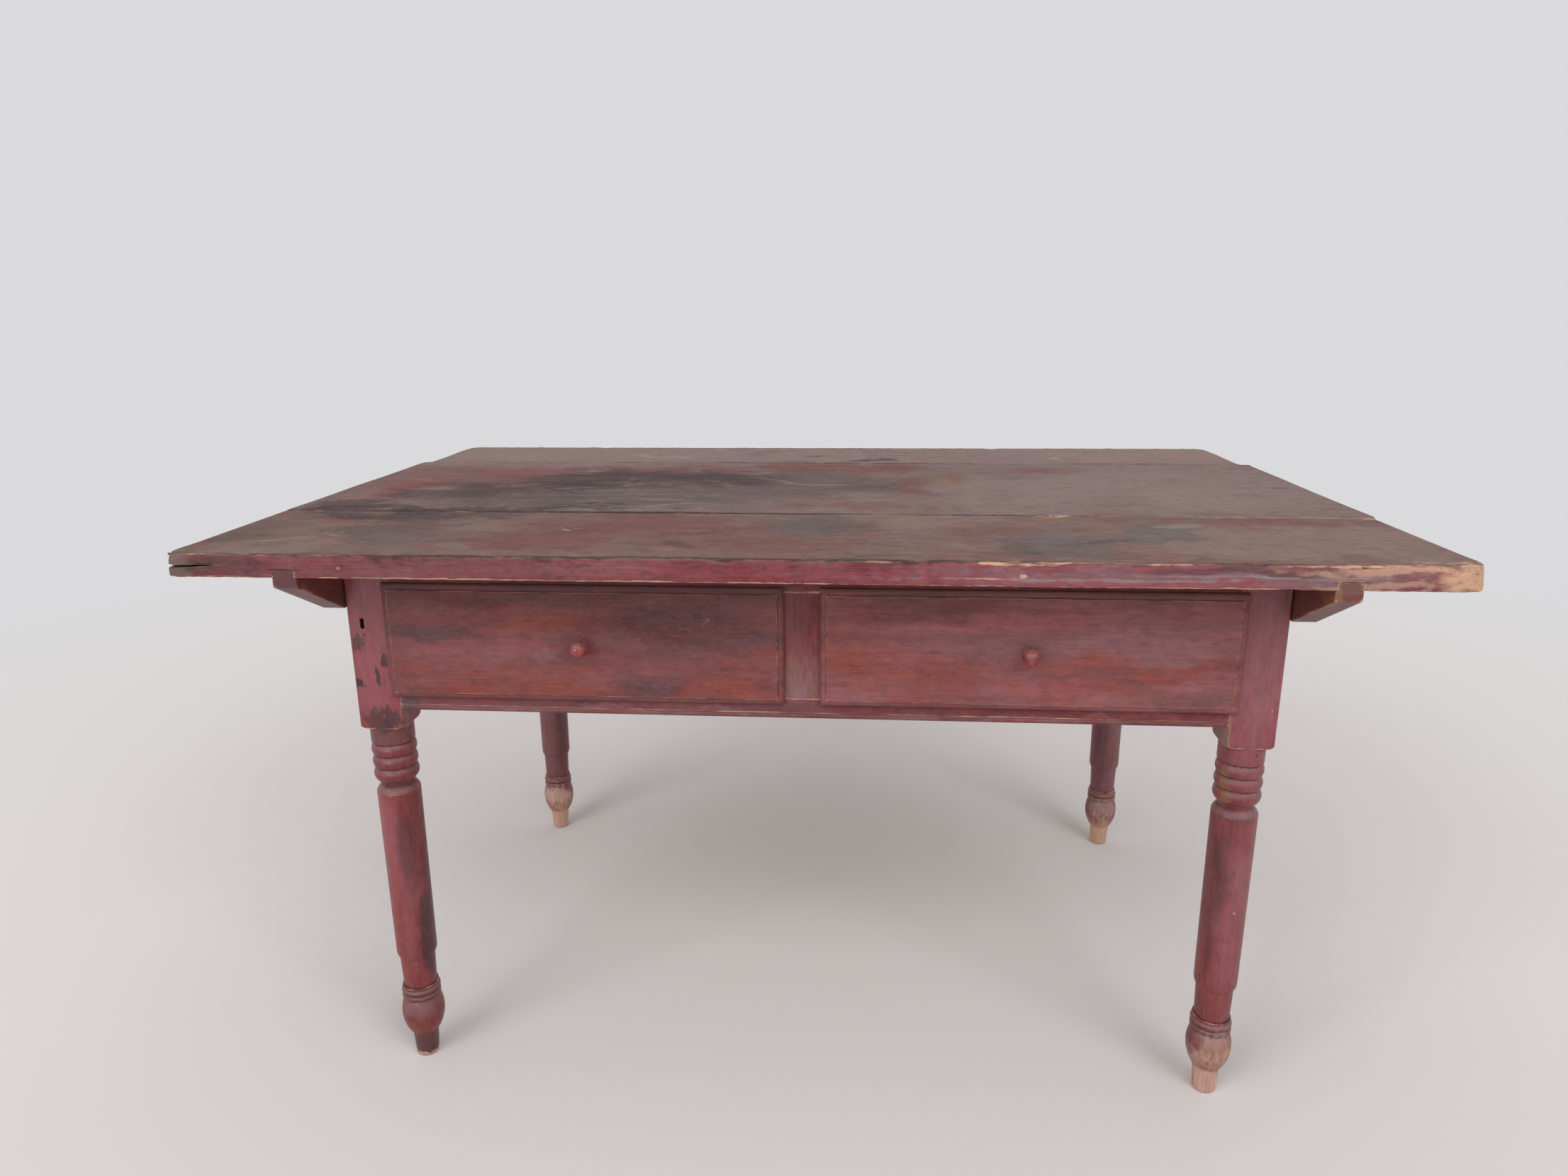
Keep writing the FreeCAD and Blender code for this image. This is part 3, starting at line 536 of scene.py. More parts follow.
    def bare_wood(self, light: Tone, dark: Tone, ring: float) -> None:
        """Lay down bare softwood with its year rings and fibres.

        Args:
            light: the early wood's tone.
            dark: the late wood's tone.
            ring: the width of a year ring where it meets the face, in millimetres.
        """
        rings = add_node(
            self.tree, "ShaderNodeTexNoise",
            {
                "Vector": self.streaked(ring, self.ring_stretch, 3.0),
                "Scale": 1.0,
                "Detail": 5.0,
                "Roughness": 0.65,
                "Distortion": 0.6,
            },
        )
        late = add_node(
            self.tree, "ShaderNodeMapRange",
            {"Value": rings.outputs[0], "From Min": 0.42, "From Max": 0.66},
            interpolation_type="SMOOTHSTEP",
        ).outputs[0]
        self.lay(light, 1.0)
        self.lay(dark, late)
        fibres = self.lay_cloud(Layer(dark, 0.9, 0.5, 60.0, 0.22, 0.55, seed=5.0))
        self.raise_by(late, self.ring_relief)
        self.raise_by(fibres, self.fibre_relief)
        self.roughen(self.wood_roughness, 1.0)

    def upward(self) -> bpy.types.NodeSocket:
        """Draw the faces that look up, where dust lies and where a painted sheen of the light from above
        goes.

        Returns:
            A mask from 0 to 1.
        """
        level = add_node(self.tree, "ShaderNodeSeparateXYZ", {0: self.normal}).outputs["Z"]
        return add_node(
            self.tree, "ShaderNodeMapRange", {"Value": level, "From Min": 0.08, "From Max": 0.6},
        ).outputs[0]

    def crevices(self, reach: float) -> bpy.types.NodeSocket:
        """Draw the grooves and inner corners where dirt gathers and shade falls; the dark tone laid there is
        dirt and painted shade.

        Args:
            reach: how far from the corner it gathers, in millimetres.

        Returns:
            A mask from 0 to 1.
        """
        open_sky = add_node(
            self.tree, "ShaderNodeAmbientOcclusion", {"Distance": reach * MM}, samples=6, only_local=True,
        )
        return add_node(
            self.tree, "ShaderNodeMapRange",
            {"Value": open_sky.outputs["AO"], "From Min": 0.92, "From Max": 0.45},
            interpolation_type="SMOOTHSTEP",
        ).outputs[0]

    def arrises(self, reach: float) -> bpy.types.NodeSocket:
        """Draw the outer edges that hands and cloths rub.

        Args:
            reach: how far from the edge the wear goes, in millimetres.

        Returns:
            A mask from 0 to 1.
        """
        depth = add_node(
            self.tree, "ShaderNodeAmbientOcclusion",
            {"Distance": reach * MM}, samples=6, inside=True, only_local=True,
        )
        return add_node(
            self.tree, "ShaderNodeMapRange",
            {"Value": depth.outputs["AO"], "From Min": 0.95, "From Max": 0.40},
        ).outputs[0]

    def worn(self, mask: bpy.types.NodeSocket, layer: Layer, wear: float) -> bpy.types.NodeSocket:
        """Break a mask up with noise, so that wear comes and goes along an edge.

        Args:
            mask: where wear may be.
            layer: the noise that breaks it up.
            wear: how much of it is worn, from 0 to 0.6.

        Returns:
            A mask from 0 to 1.
        """
        breaks = add_node(
            self.tree, "ShaderNodeMath",
            {0: self.cloud_mask(layer), 1: self.break_gain}, operation="MULTIPLY",
        ).outputs[0]
        summed = add_node(self.tree, "ShaderNodeMath", {0: mask, 1: breaks}, operation="ADD").outputs[0]
        return add_node(
            self.tree, "ShaderNodeMapRange",
            {
                "Value": summed,
                "From Min": self.wear_starts - wear,
                "From Max": self.wear_full - wear,
                "To Max": layer.strength,
            },
        ).outputs[0]

    def finish(self, specular: float, coat: float, coat_roughness: float) -> bpy.types.Material:
        """Wire the built-up colour, roughness and relief into the shader.

        Args:
            specular: the specular level.
            coat: the weight of a glossy coat.
            coat_roughness: the coat's roughness.

        Returns:
            The finished material.
        """
        relief = add_node(
            self.tree, "ShaderNodeBump", {"Strength": 1.0, "Distance": MM, "Height": self.height},
        )
        shader = add_node(
            self.tree, "ShaderNodeBsdfPrincipled",
            {
                "Base Color": self.colour,
                "Roughness": self.roughness,
                "Normal": relief.outputs[0],
                "Specular IOR Level": specular,
                "Coat Weight": coat,
                "Coat Roughness": coat_roughness,
            },
        )
        add_node(self.tree, "ShaderNodeOutputMaterial", {"Surface": shader.outputs[0]})
        return self.material


@dataclass(frozen=True)
class BareAgedPine:
    """Bare softwood, planed by hand and darkened by air and hands; dry, with raised late wood."""

    name: str
    grain: Grain

    ring = 7.0
    clouds = (
        Layer(Tone.AGED_PINE_DARK, 90.0, 0.4, 3.0, 0.2, 0.5),
        Layer(Tone.GRIME_AND_SHADE, 45.0, 0.2, 2.0, 0.15, 0.35, seed=8.0),
    )
    crevice_reach = 8.0
    crevice_dirt_and_shade = 0.6
    specular = 0.3

    def build(self) -> bpy.types.Material:
        """Build the material.

        Returns:
            The material.
        """
        surface = Surface(self.name, self.grain)
        surface.bare_wood(Tone.AGED_PINE, Tone.AGED_PINE_DARK, self.ring)
        for cloud in self.clouds:
            surface.lay_cloud(cloud)
        breaks = Layer(None, 14.0, 0.6, strength=0.6)
        # Dark tone in the grooves and inner corners: dirt and painted shade.
        surface.lay(Tone.GRIME_AND_SHADE, surface.worn(surface.crevices(self.crevice_reach), breaks, self.crevice_dirt_and_shade))
        return surface.finish(self.specular, 0.0, 0.0)


@dataclass(frozen=True)
class OldRedPaint:
    """Old oil paint, brushed on softwood along the grain, rubbed satin and worn through at arrises.

    Its layers, patches and flecks are what sets one piece apart from the next. A piece with
    painted sides is bare aged pine past them, and its paint has gone as dry as that pine; the
    roughness given here counts where a piece is painted all over. Reliefs are in millimetres.
    """

    name: str
    grain: Grain
    ground: Tone = Tone.RASPBERRY
    layers: tuple[Layer, ...] = ()
    patches: tuple[Patch, ...] = ()
    flecks: tuple[Fleck, ...] = ()
    sides: tuple[Side, ...] = ()
    bare: tuple[Patch, ...] = ()
    late_marks: tuple[Patch, ...] = ()
    arris_reach: float = 3.0
    arris_wear: float = 0.22
    crevice_reach: float = 5.0
    mottle: float = 0.2
    dust: float = 0.2
    roughness: float = 0.4
    coat: float = 0.0

    wood_tones = (Tone.PINK_PINE, Tone.PINK_PINE_DARK)
    painted_ring = 5.0
    unpainted_ring = 7.0
    crevice_dirt_and_shade = 0.6
    shelf_dust_and_sheen = 0.45
    rust_rim = 0.16
    brush_relief = -0.10
    worn_relief = -0.15
    bare_relief = -0.12
    chip_relief = -0.10
    dust_roughness = 0.62
    bare_roughness = 0.66
    specular = 0.35
    coat_roughness = 0.08

    def lay_coat(
        self, surface: Surface, ground: Tone, layers: tuple[Layer, ...], patches: tuple[Patch, ...]
    ) -> None:
        """Lay one coat of paint with its clouds, stains and brush marks.

        Args:
            surface: the surface.
            ground: the coat's main tone.
            layers: the clouds and streaks.
            patches: the stains.
        """
        surface.lay(ground, 1.0)
        for layer in layers:
            surface.lay_cloud(layer)
        for patch in patches:
            surface.lay(patch.tone, surface.patch_mask(patch))
        for mottle in (
            Layer(Tone.GRIME_AND_SHADE, 9.0, 0.35, 2.0, 0.12, self.mottle, 6.0, seed=12.0),
            Layer(Tone.GRIME_AND_SHADE, 4.5, 0.35, 2.5, 0.14, self.mottle, 6.0, seed=13.0),
            Layer(Tone.DUSTY_PINK, 3.5, 0.3, 2.5, 0.12, self.mottle, 6.0, seed=14.0),
        ):
            surface.lay_cloud(mottle)
        brush = surface.lay_cloud(Layer(Tone.OXBLOOD, 1.5, 0.5, 40.0, 0.25, 0.24, seed=2.0))
        surface.raise_by(brush, self.brush_relief)

    def paint(self, surface: Surface) -> None:
        """Paint the wood, and lay dust and a painted sheen on the ledges of the turnings and mouldings.

        Args:
            surface: the bare surface.
        """
        self.lay_coat(surface, self.ground, self.layers, self.patches)
        # The pale tone on faces that look up is dust and a painted sheen of the light from above.
        shelf_dust_and_sheen = add_node(
            surface.tree, "ShaderNodeMath", {0: surface.upward(), 1: self.shelf_dust_and_sheen}, operation="MULTIPLY",
        ).outputs[0]
        surface.lay(Tone.DUSTY_PINK, shelf_dust_and_sheen)

    def age(self, surface: Surface, wood: bpy.types.NodeSocket) -> None:
        """Lay dust, and dirt and painted shade in the crevices, on the paint, and wear it through at arrises,
        bare places and chips.

        Args:
            surface: the painted surface.
            wood: the colour of the wood under it.
        """
        surface.roughen(self.roughness, 1.0)
        dusty = surface.lay_cloud(Layer(Tone.DUSTY_PINK, 26.0, 0.4, 4.0, 0.2, self.dust, seed=11.0))
        surface.roughen(self.dust_roughness, dusty)
        breaks = Layer(None, 12.0, 0.6, strength=0.85)
        # Dark tone in the grooves and inner corners: dirt and painted shade.
        surface.lay(Tone.GRIME_AND_SHADE, surface.worn(surface.crevices(self.crevice_reach), breaks, self.crevice_dirt_and_shade))
        rubbed = surface.arrises(self.arris_reach)
        breaks = Layer(None, 14.0, 0.5, 3.0, 0.15, seed=4.0)
        surface.lay(Tone.RUST, surface.worn(rubbed, breaks, self.arris_wear + self.rust_rim))
        through = surface.worn(rubbed, breaks, self.arris_wear)
        surface.lay(wood, through)
        surface.raise_by(through, self.worn_relief)
        if self.bare:
            mask = surface.merged([surface.patch_mask(patch) for patch in self.bare])
            surface.lay(wood, mask)
            surface.roughen(self.bare_roughness, mask)
            surface.raise_by(mask, self.bare_relief)
        if self.flecks:
            masks = [surface.fleck_mask(fleck) for fleck in self.flecks]
            for fleck, mask in zip(self.flecks, masks):
                surface.lay(fleck.tone, mask)
            surface.raise_by(surface.merged(masks), self.chip_relief)
        for patch in self.late_marks:
            surface.lay(patch.tone, surface.patch_mask(patch))

    def build(self) -> bpy.types.Material:
        """Build the material.

        Returns:
            The material.
        """
        surface = Surface(self.name, self.grain)
        surface.bare_wood(*self.wood_tones, self.painted_ring)
        wood = surface.colour
        self.paint(surface)
        self.age(surface, wood)
        if self.sides:
            painted = surface.colour
            surface.bare_wood(Tone.AGED_PINE, Tone.AGED_PINE_DARK, self.unpainted_ring)
            surface.lay(painted, surface.side_mask(self.sides))
        return surface.finish(self.specular, self.coat, self.coat_roughness)


@dataclass(frozen=True)
class WornBrownTop(OldRedPaint):
    """The same paint on the top boards, where use has rubbed it to a dull brown grey.

    The upper face has its own ground, layers and stains; the edges keep their red, and the
    underside was never painted.
    """

    sides: tuple[Side, ...] = (Side("Z", TOP_UNDERSIDE + 0.8, 1),)
    face_ground: Tone = Tone.MAUVE_GREY
    face_layers: tuple[Layer, ...] = ()
    face_patches: tuple[Patch, ...] = ()

    face_side = Side("Z", TOP_FACE - 2.0, 1)
    wood_tones = (Tone.PALE_PINE, Tone.WORN_PINE)
    unpainted_ring = 9.0
    specular = 0.2

    def paint(self, surface: Surface) -> None:
        """Paint the edges red and the upper face brown grey.

        Args:
            surface: the bare surface.
        """
        self.lay_coat(surface, self.ground, self.layers, self.patches)
        edge_colour = surface.colour
        self.lay_coat(surface, self.face_ground, self.face_layers, self.face_patches)
        face_colour = surface.colour
        surface.colour = edge_colour
        surface.lay(face_colour, surface.side_mask((self.face_side,)))


@dataclass(frozen=True)
class Lamp:
    """A square soft lamp: its place and width in metres and its power in watts.

    A sparkle lamp shows only as a highlight and lights nothing.
    """

    name: str
    place: tuple[float, float, float]
    width: float
    power: float
    sparkle: bool = False


@dataclass(frozen=True)
class Studio:
    """The plain studio round the table: floor, lamps, air and camera.

    Lengths are in metres, angles in degrees, and the lens is told by the photograph's width and
    focal length in pixels.
    """

    floor_half: float = 30.0
    fade_from: float = 1.3
    fade_to: float = 3.6
    air_light: float = 0.80

    lamps_aim: tuple[float, float, float] = (0.0, 0.0, 0.55)
    lamps: tuple[Lamp, ...] = (
        Lamp("sky_lamp", (0.0, 0.4, 5.5), 4.0, 34.0),
        Lamp("left_window", (-2.8, -3.8, 3.9), 2.6, 80.0),
        Lamp("right_window", (2.8, -3.8, 3.9), 2.6, 80.0),
        Lamp("spark_lamp", (-1.1, -2.6, 0.75), 0.35, 20.0, sparkle=True),
    )

    photo_width: float = 2212.0
    focal_pixels: float = 1478.2
    sensor_width: float = 36.0
    camera_place: tuple[float, float, float] = (0.0715, -1.5142, 0.9867)
    pitch_down: float = 15.06
    yaw_left: float = 4.54
    roll: float = -0.46

    def background_rays(self, tree: bpy.types.NodeTree) -> bpy.types.NodeSocket:
        """Tell the rays that show the plain background from those that light the table.

        Args:
            tree: the node tree that asks.

        Returns:
            1 for camera, glossy and transmission rays, and 0 for all others.
        """
        path = add_node(tree, "ShaderNodeLightPath").outputs
        rays = path["Is Camera Ray"]
        for kind in ("Is Glossy Ray", "Is Transmission Ray"):
            rays = add_node(tree, "ShaderNodeMath", {0: rays, 1: path[kind]}, operation="MAXIMUM").outputs[0]
        return rays

    def lay_floor(self) -> None:
        """Lay a plain pale floor under the table, which fades into the pale air far out."""
        bpy.ops.mesh.primitive_plane_add(size=2.0 * self.floor_half, location=(0.0, 0.0, 0.0))
        floor = bpy.context.object
        floor.name = "studio_floor"
        material = bpy.data.materials.new("pale_matt_floor")
        material.use_nodes = True
        tree = material.node_tree
        tree.nodes.clear()
        ground = add_node(
            tree, "ShaderNodeBsdfDiffuse", {"Color": linear(Tone.PALE_FLOOR), "Roughness": 0.8},
        )
        air = add_node(tree, "ShaderNodeEmission", {"Color": linear(Tone.PALE_AIR), "Strength": 1.0})
        place = add_node(tree, "ShaderNodeTexCoord").outputs["Object"]
        away = add_node(tree, "ShaderNodeVectorMath", {0: place}, operation="LENGTH").outputs["Value"]
        fade = add_node(
            tree, "ShaderNodeMapRange",
            {"Value": away, "From Min": self.fade_from, "From Max": self.fade_to},
            interpolation_type="SMOOTHSTEP",
        ).outputs[0]
        share = add_node(
            tree, "ShaderNodeMath", {0: fade, 1: self.background_rays(tree)}, operation="MULTIPLY",
        ).outputs[0]
        upper = add_node(tree, "ShaderNodeMixShader", {0: share, 1: ground.outputs[0], 2: air.outputs[0]})
        below = add_node(tree, "ShaderNodeNewGeometry").outputs["Backfacing"]
        clear = add_node(tree, "ShaderNodeBsdfTransparent")
        mixed = add_node(tree, "ShaderNodeMixShader", {0: below, 1: upper.outputs[0], 2: clear.outputs[0]})
        add_node(tree, "ShaderNodeOutputMaterial", {"Surface": mixed.outputs[0]})
        floor.data.materials.append(material)

    def fill_air(self) -> None:
        """Fill the room with even pale light, and show a plain pale background to the camera."""
        world = bpy.data.worlds.new("studio_air")
        bpy.context.scene.world = world
        world.use_nodes = True
        tree = world.node_tree
        tree.nodes.clear()
        light = add_node(
            tree, "ShaderNodeBackground", {"Color": linear(Tone.DAYLIGHT), "Strength": self.air_light},
        )
        backdrop = add_node(
            tree, "ShaderNodeBackground", {"Color": linear(Tone.PALE_AIR), "Strength": 1.0},
        )
        mixed = add_node(
            tree, "ShaderNodeMixShader",
            {0: self.background_rays(tree), 1: light.outputs[0], 2: backdrop.outputs[0]},
        )
        add_node(tree, "ShaderNodeOutputWorld", {"Surface": mixed.outputs[0]})

    def hang_lamp(self, lamp: Lamp) -> None:
        """Hang one lamp and point it at the table.

        Args:
            lamp: the lamp.
        """
        data = bpy.data.lights.new(lamp.name, "AREA")
        data.size = lamp.width
        data.energy = lamp.power
        hung = bpy.data.objects.new(lamp.name, data)
        hung.location = lamp.place
        towards = Vector(self.lamps_aim) - Vector(lamp.place)
        hung.rotation_euler = towards.to_track_quat("-Z", "Y").to_euler()
        hung.visible_diffuse = not lamp.sparkle
        bpy.context.scene.collection.objects.link(hung)

    def set_camera(self) -> None:
        """Set the camera where the photograph was taken."""
        data = bpy.data.cameras.new("photo_camera")
        data.sensor_width = self.sensor_width
        data.lens = self.focal_pixels / self.photo_width * self.sensor_width
        camera = bpy.data.objects.new("photo_camera", data)
        turned = (
            Matrix.Rotation(math.radians(self.yaw_left), 4, "Z")
            @ Matrix.Rotation(math.radians(90.0 - self.pitch_down), 4, "X")
            @ Matrix.Rotation(math.radians(self.roll), 4, "Z")
        )
        camera.matrix_world = Matrix.Translation(self.camera_place) @ turned
        bpy.context.scene.collection.objects.link(camera)
        bpy.context.scene.camera = camera

    def build(self) -> None:
        """Build the whole studio."""
        self.lay_floor()
        self.fill_air()
        for lamp in self.lamps:
            self.hang_lamp(lamp)
        self.set_camera()
        bpy.context.scene.view_settings.view_transform = "Standard"


def dress(piece: str | bpy.types.Object, material: bpy.types.Material) -> None:
    """Give a piece its finish.

    Args:
        piece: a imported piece's name, or a piece that was modelled here.
        material: the finish.
    """
    if isinstance(piece, str):
        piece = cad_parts[piece]
    for slot in piece.material_slots:
        slot.material = material
    if not piece.material_slots:
        piece.data.materials.append(material)
    log.info("%s has the finish %s", piece.name, material.name)


def stain(
    tone: Tone, place: tuple[float, float], half: tuple[float, float], strength: float = 0.75,
    turn: float = 0.0, wander: float = 1.0, edge: float = 0.4, broken: float = 0.4, depth: float = 30.0,
) -> Patch:
    """Place a stain on the top's upper face.

    Args:
        tone: its tone.
        place: the middle, as x and y in millimetres.
        half: half its length and width in millimetres.
        strength: how strongly it covers.
        turn: its angle on the face, in degrees.
        wander: how unevenly its outline runs.
        edge: how softly it ends.
        broken: how far it breaks up.
        depth: how far down it goes, in millimetres.

    Returns:
        The patch.
    """
    return Patch(tone, (*place, TOP_FACE), (*half, depth), strength, edge, (0.0, 0.0, turn), wander, broken)


def mark(
    tone: Tone, place: tuple[float, float], half: tuple[float, float], strength: float = 0.6,
    turn: float = 0.0, wander: float = 0.5, edge: float = 0.5, broken: float = 0.3, depth: float = 40.0,
) -> Patch:
    """Place a mark on the front of the table, under its top.

    Args:
        tone: its tone.
        place: the middle, as x and z in millimetres.
        half: half its length and height in millimetres.
        strength: how strongly it covers.
        turn: its angle on the front, in degrees.
        wander: how unevenly its outline runs.
        edge: how softly it ends.
        broken: how far it breaks up.
        depth: how far in it goes, in millimetres.

    Returns:
        The patch.
    """
    at = (place[0], FRONT_FACE - 8.0, place[1])
    return Patch(tone, at, (half[0], depth, half[1]), strength, edge, (0.0, turn, 0.0), wander, broken)


@dataclass(frozen=True)
class Arris:
    """An arris that use has rounded and nibbled.

    x, y and z are its place in millimetres, with None for the way it runs. reach is how far from
    it the wear goes and wear how deep it goes at most, both in millimetres.
    """

    x: float | None
    y: float | None
    z: float | None
    reach: float = 7.0
    wear: float = 1.6

    def depth_at(self, place: Vector) -> float:
        """Work out how deep the wear may go at a place.

        Args:
            place: the place, in metres.

        Returns:
            The depth in millimetres.
        """
        gaps = [
            along / MM - fixed for along, fixed in zip(place, (self.x, self.y, self.z)) if fixed is not None
        ]
        return self.wear * max(0.0, 1.0 - (math.hypot(*gaps) / self.reach) ** 2)


@dataclass(frozen=True)
class Dent:
    """A knock or a splintered place: its middle, reach and depth in millimetres."""

    at: tuple[float, float, float]
    reach: float
    depth: float

    def depth_at(self, place: Vector) -> float:
        """Work out how deep the dent is at a place.

        Args:
            place: the place, in metres.

        Returns:
            The depth in millimetres.
        """
        away = (place / MM - Vector(self.at)).length / self.reach
        return self.depth * max(0.0, 1.0 - away * away) ** 1.5


@dataclass(frozen=True)
class WornBoard:
    """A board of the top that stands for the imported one, with its arrises and corners worn.

    Cuts across and along the board give the wear points to move. All wear goes inwards, so the
    board keeps its size and its joints. The three welds are distances in millimetres at which
    points become one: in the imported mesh, and after the cuts and the wear, so that no sliver
    is left.
    """

    node: str
    x_cuts: tuple[float, ...]
    y_cuts: tuple[float, ...]
    arrises: tuple[Arris, ...]
    dents: tuple[Dent, ...]
    z_cuts: tuple[float, ...] = (705.5, 709.0, 713.0, 717.0, 721.0, 724.5, 728.0)
    nibble: float = 9.0
    weld_packed: float = 0.01
    weld_cuts: float = 0.03
    weld_wear: float = 0.003
    flat_angle: float = 0.2
    smooth_angle: float = 32.0

    def weld(self, distance: float) -> None:
        """Make one point of those that lie nearer to each other than a distance in millimetres."""
        bpy.ops.mesh.select_all(action="SELECT")
        bpy.ops.mesh.remove_doubles(threshold=distance * MM)

    def cut(self, axis: int, places: tuple[float, ...]) -> None:
        """Cut lines of points through the selected board.

        Args:
            axis: the axis that the cuts stand on, from 0 to 2.
            places: where they are, in millimetres.
        """
        for place in places:
            bpy.ops.mesh.select_all(action="SELECT")
            bpy.ops.mesh.bisect(
                plane_co=[place * MM if index == axis else 0.0 for index in range(3)],
                plane_no=[1.0 if index == axis else 0.0 for index in range(3)],
            )

    def wear_down(self, piece: bpy.types.Object, name: str, depths: list[float], clouds: float) -> None:
        """Press the surface in by a Displace modifier, as deep as each point's own depth says.

        Args:
            piece: the board.
            name: the name of the points' weights.
            depths: the greatest depth at each point, in millimetres.
            clouds: the width of the clouds that break the wear up, or 0 for none.
        """
        deepest = max(depths)
        weights = piece.vertex_groups.new(name=name)
        for index, depth in enumerate(depths):
            if depth > 0.0:
                weights.add([index], depth / deepest, "REPLACE")
        press = piece.modifiers.new(name, "DISPLACE")
        press.vertex_group = name
        press.mid_level = 0.0
        press.strength = -deepest * MM
        if clouds:
            press.texture = bpy.data.textures.new(f"{piece.name}_{name}", "CLOUDS")
            press.texture.noise_scale = clouds * MM
            press.texture.noise_depth = 3
            press.texture.contrast = 2.2
        bpy.ops.object.modifier_apply(modifier=name)

    def build(self, material: bpy.types.Material) -> None:
        """Model the worn board.

        Args:
            material: its finish.
        """
        bpy.ops.object.select_all(action="DESELECT")
        piece = bpy.data.objects.new(f"worn_{self.node}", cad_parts[self.node].data.copy())
        bpy.context.scene.collection.objects.link(piece)
        bpy.context.view_layer.objects.active = piece
        piece.select_set(True)
        bpy.ops.object.mode_set(mode="EDIT")
        self.weld(self.weld_packed)
        bpy.ops.mesh.dissolve_limited(angle_limit=math.radians(self.flat_angle))
        for axis, places in enumerate((self.x_cuts, self.y_cuts, self.z_cuts)):
            self.cut(axis, places)
        self.weld(self.weld_cuts)
        bpy.ops.mesh.normals_make_consistent(inside=False)
        bpy.ops.object.mode_set(mode="OBJECT")
        points = [point.co.copy() for point in piece.data.vertices]
        arris_depths = [max(arris.depth_at(point) for arris in self.arrises) for point in points]
        self.wear_down(piece, "nibbled_arrises", arris_depths, self.nibble)
        dent_depths = [max(dent.depth_at(point) for dent in self.dents) for point in points]
        self.wear_down(piece, "dents", dent_depths, 0.0)
        bpy.ops.object.mode_set(mode="EDIT")
        self.weld(self.weld_wear)
        bpy.ops.object.mode_set(mode="OBJECT")
        bpy.ops.object.shade_smooth_by_angle(angle=math.radians(self.smooth_angle))
        piece.data.materials.clear()
        dress(piece, material)
        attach(piece, "table")
        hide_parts(self.node)
        log.info("%s has %d points", piece.name, len(piece.data.vertices))


def steps(first: float, last: float, step: float) -> tuple[float, ...]:
    """Give even places from first to last.

    Args:
        first: the first place.
        last: a place that none goes past.
        step: the distance from one to the next.

    Returns:
        The places.
    """
    return tuple(first + step * index for index in range(int((last - first) / step) + 1))


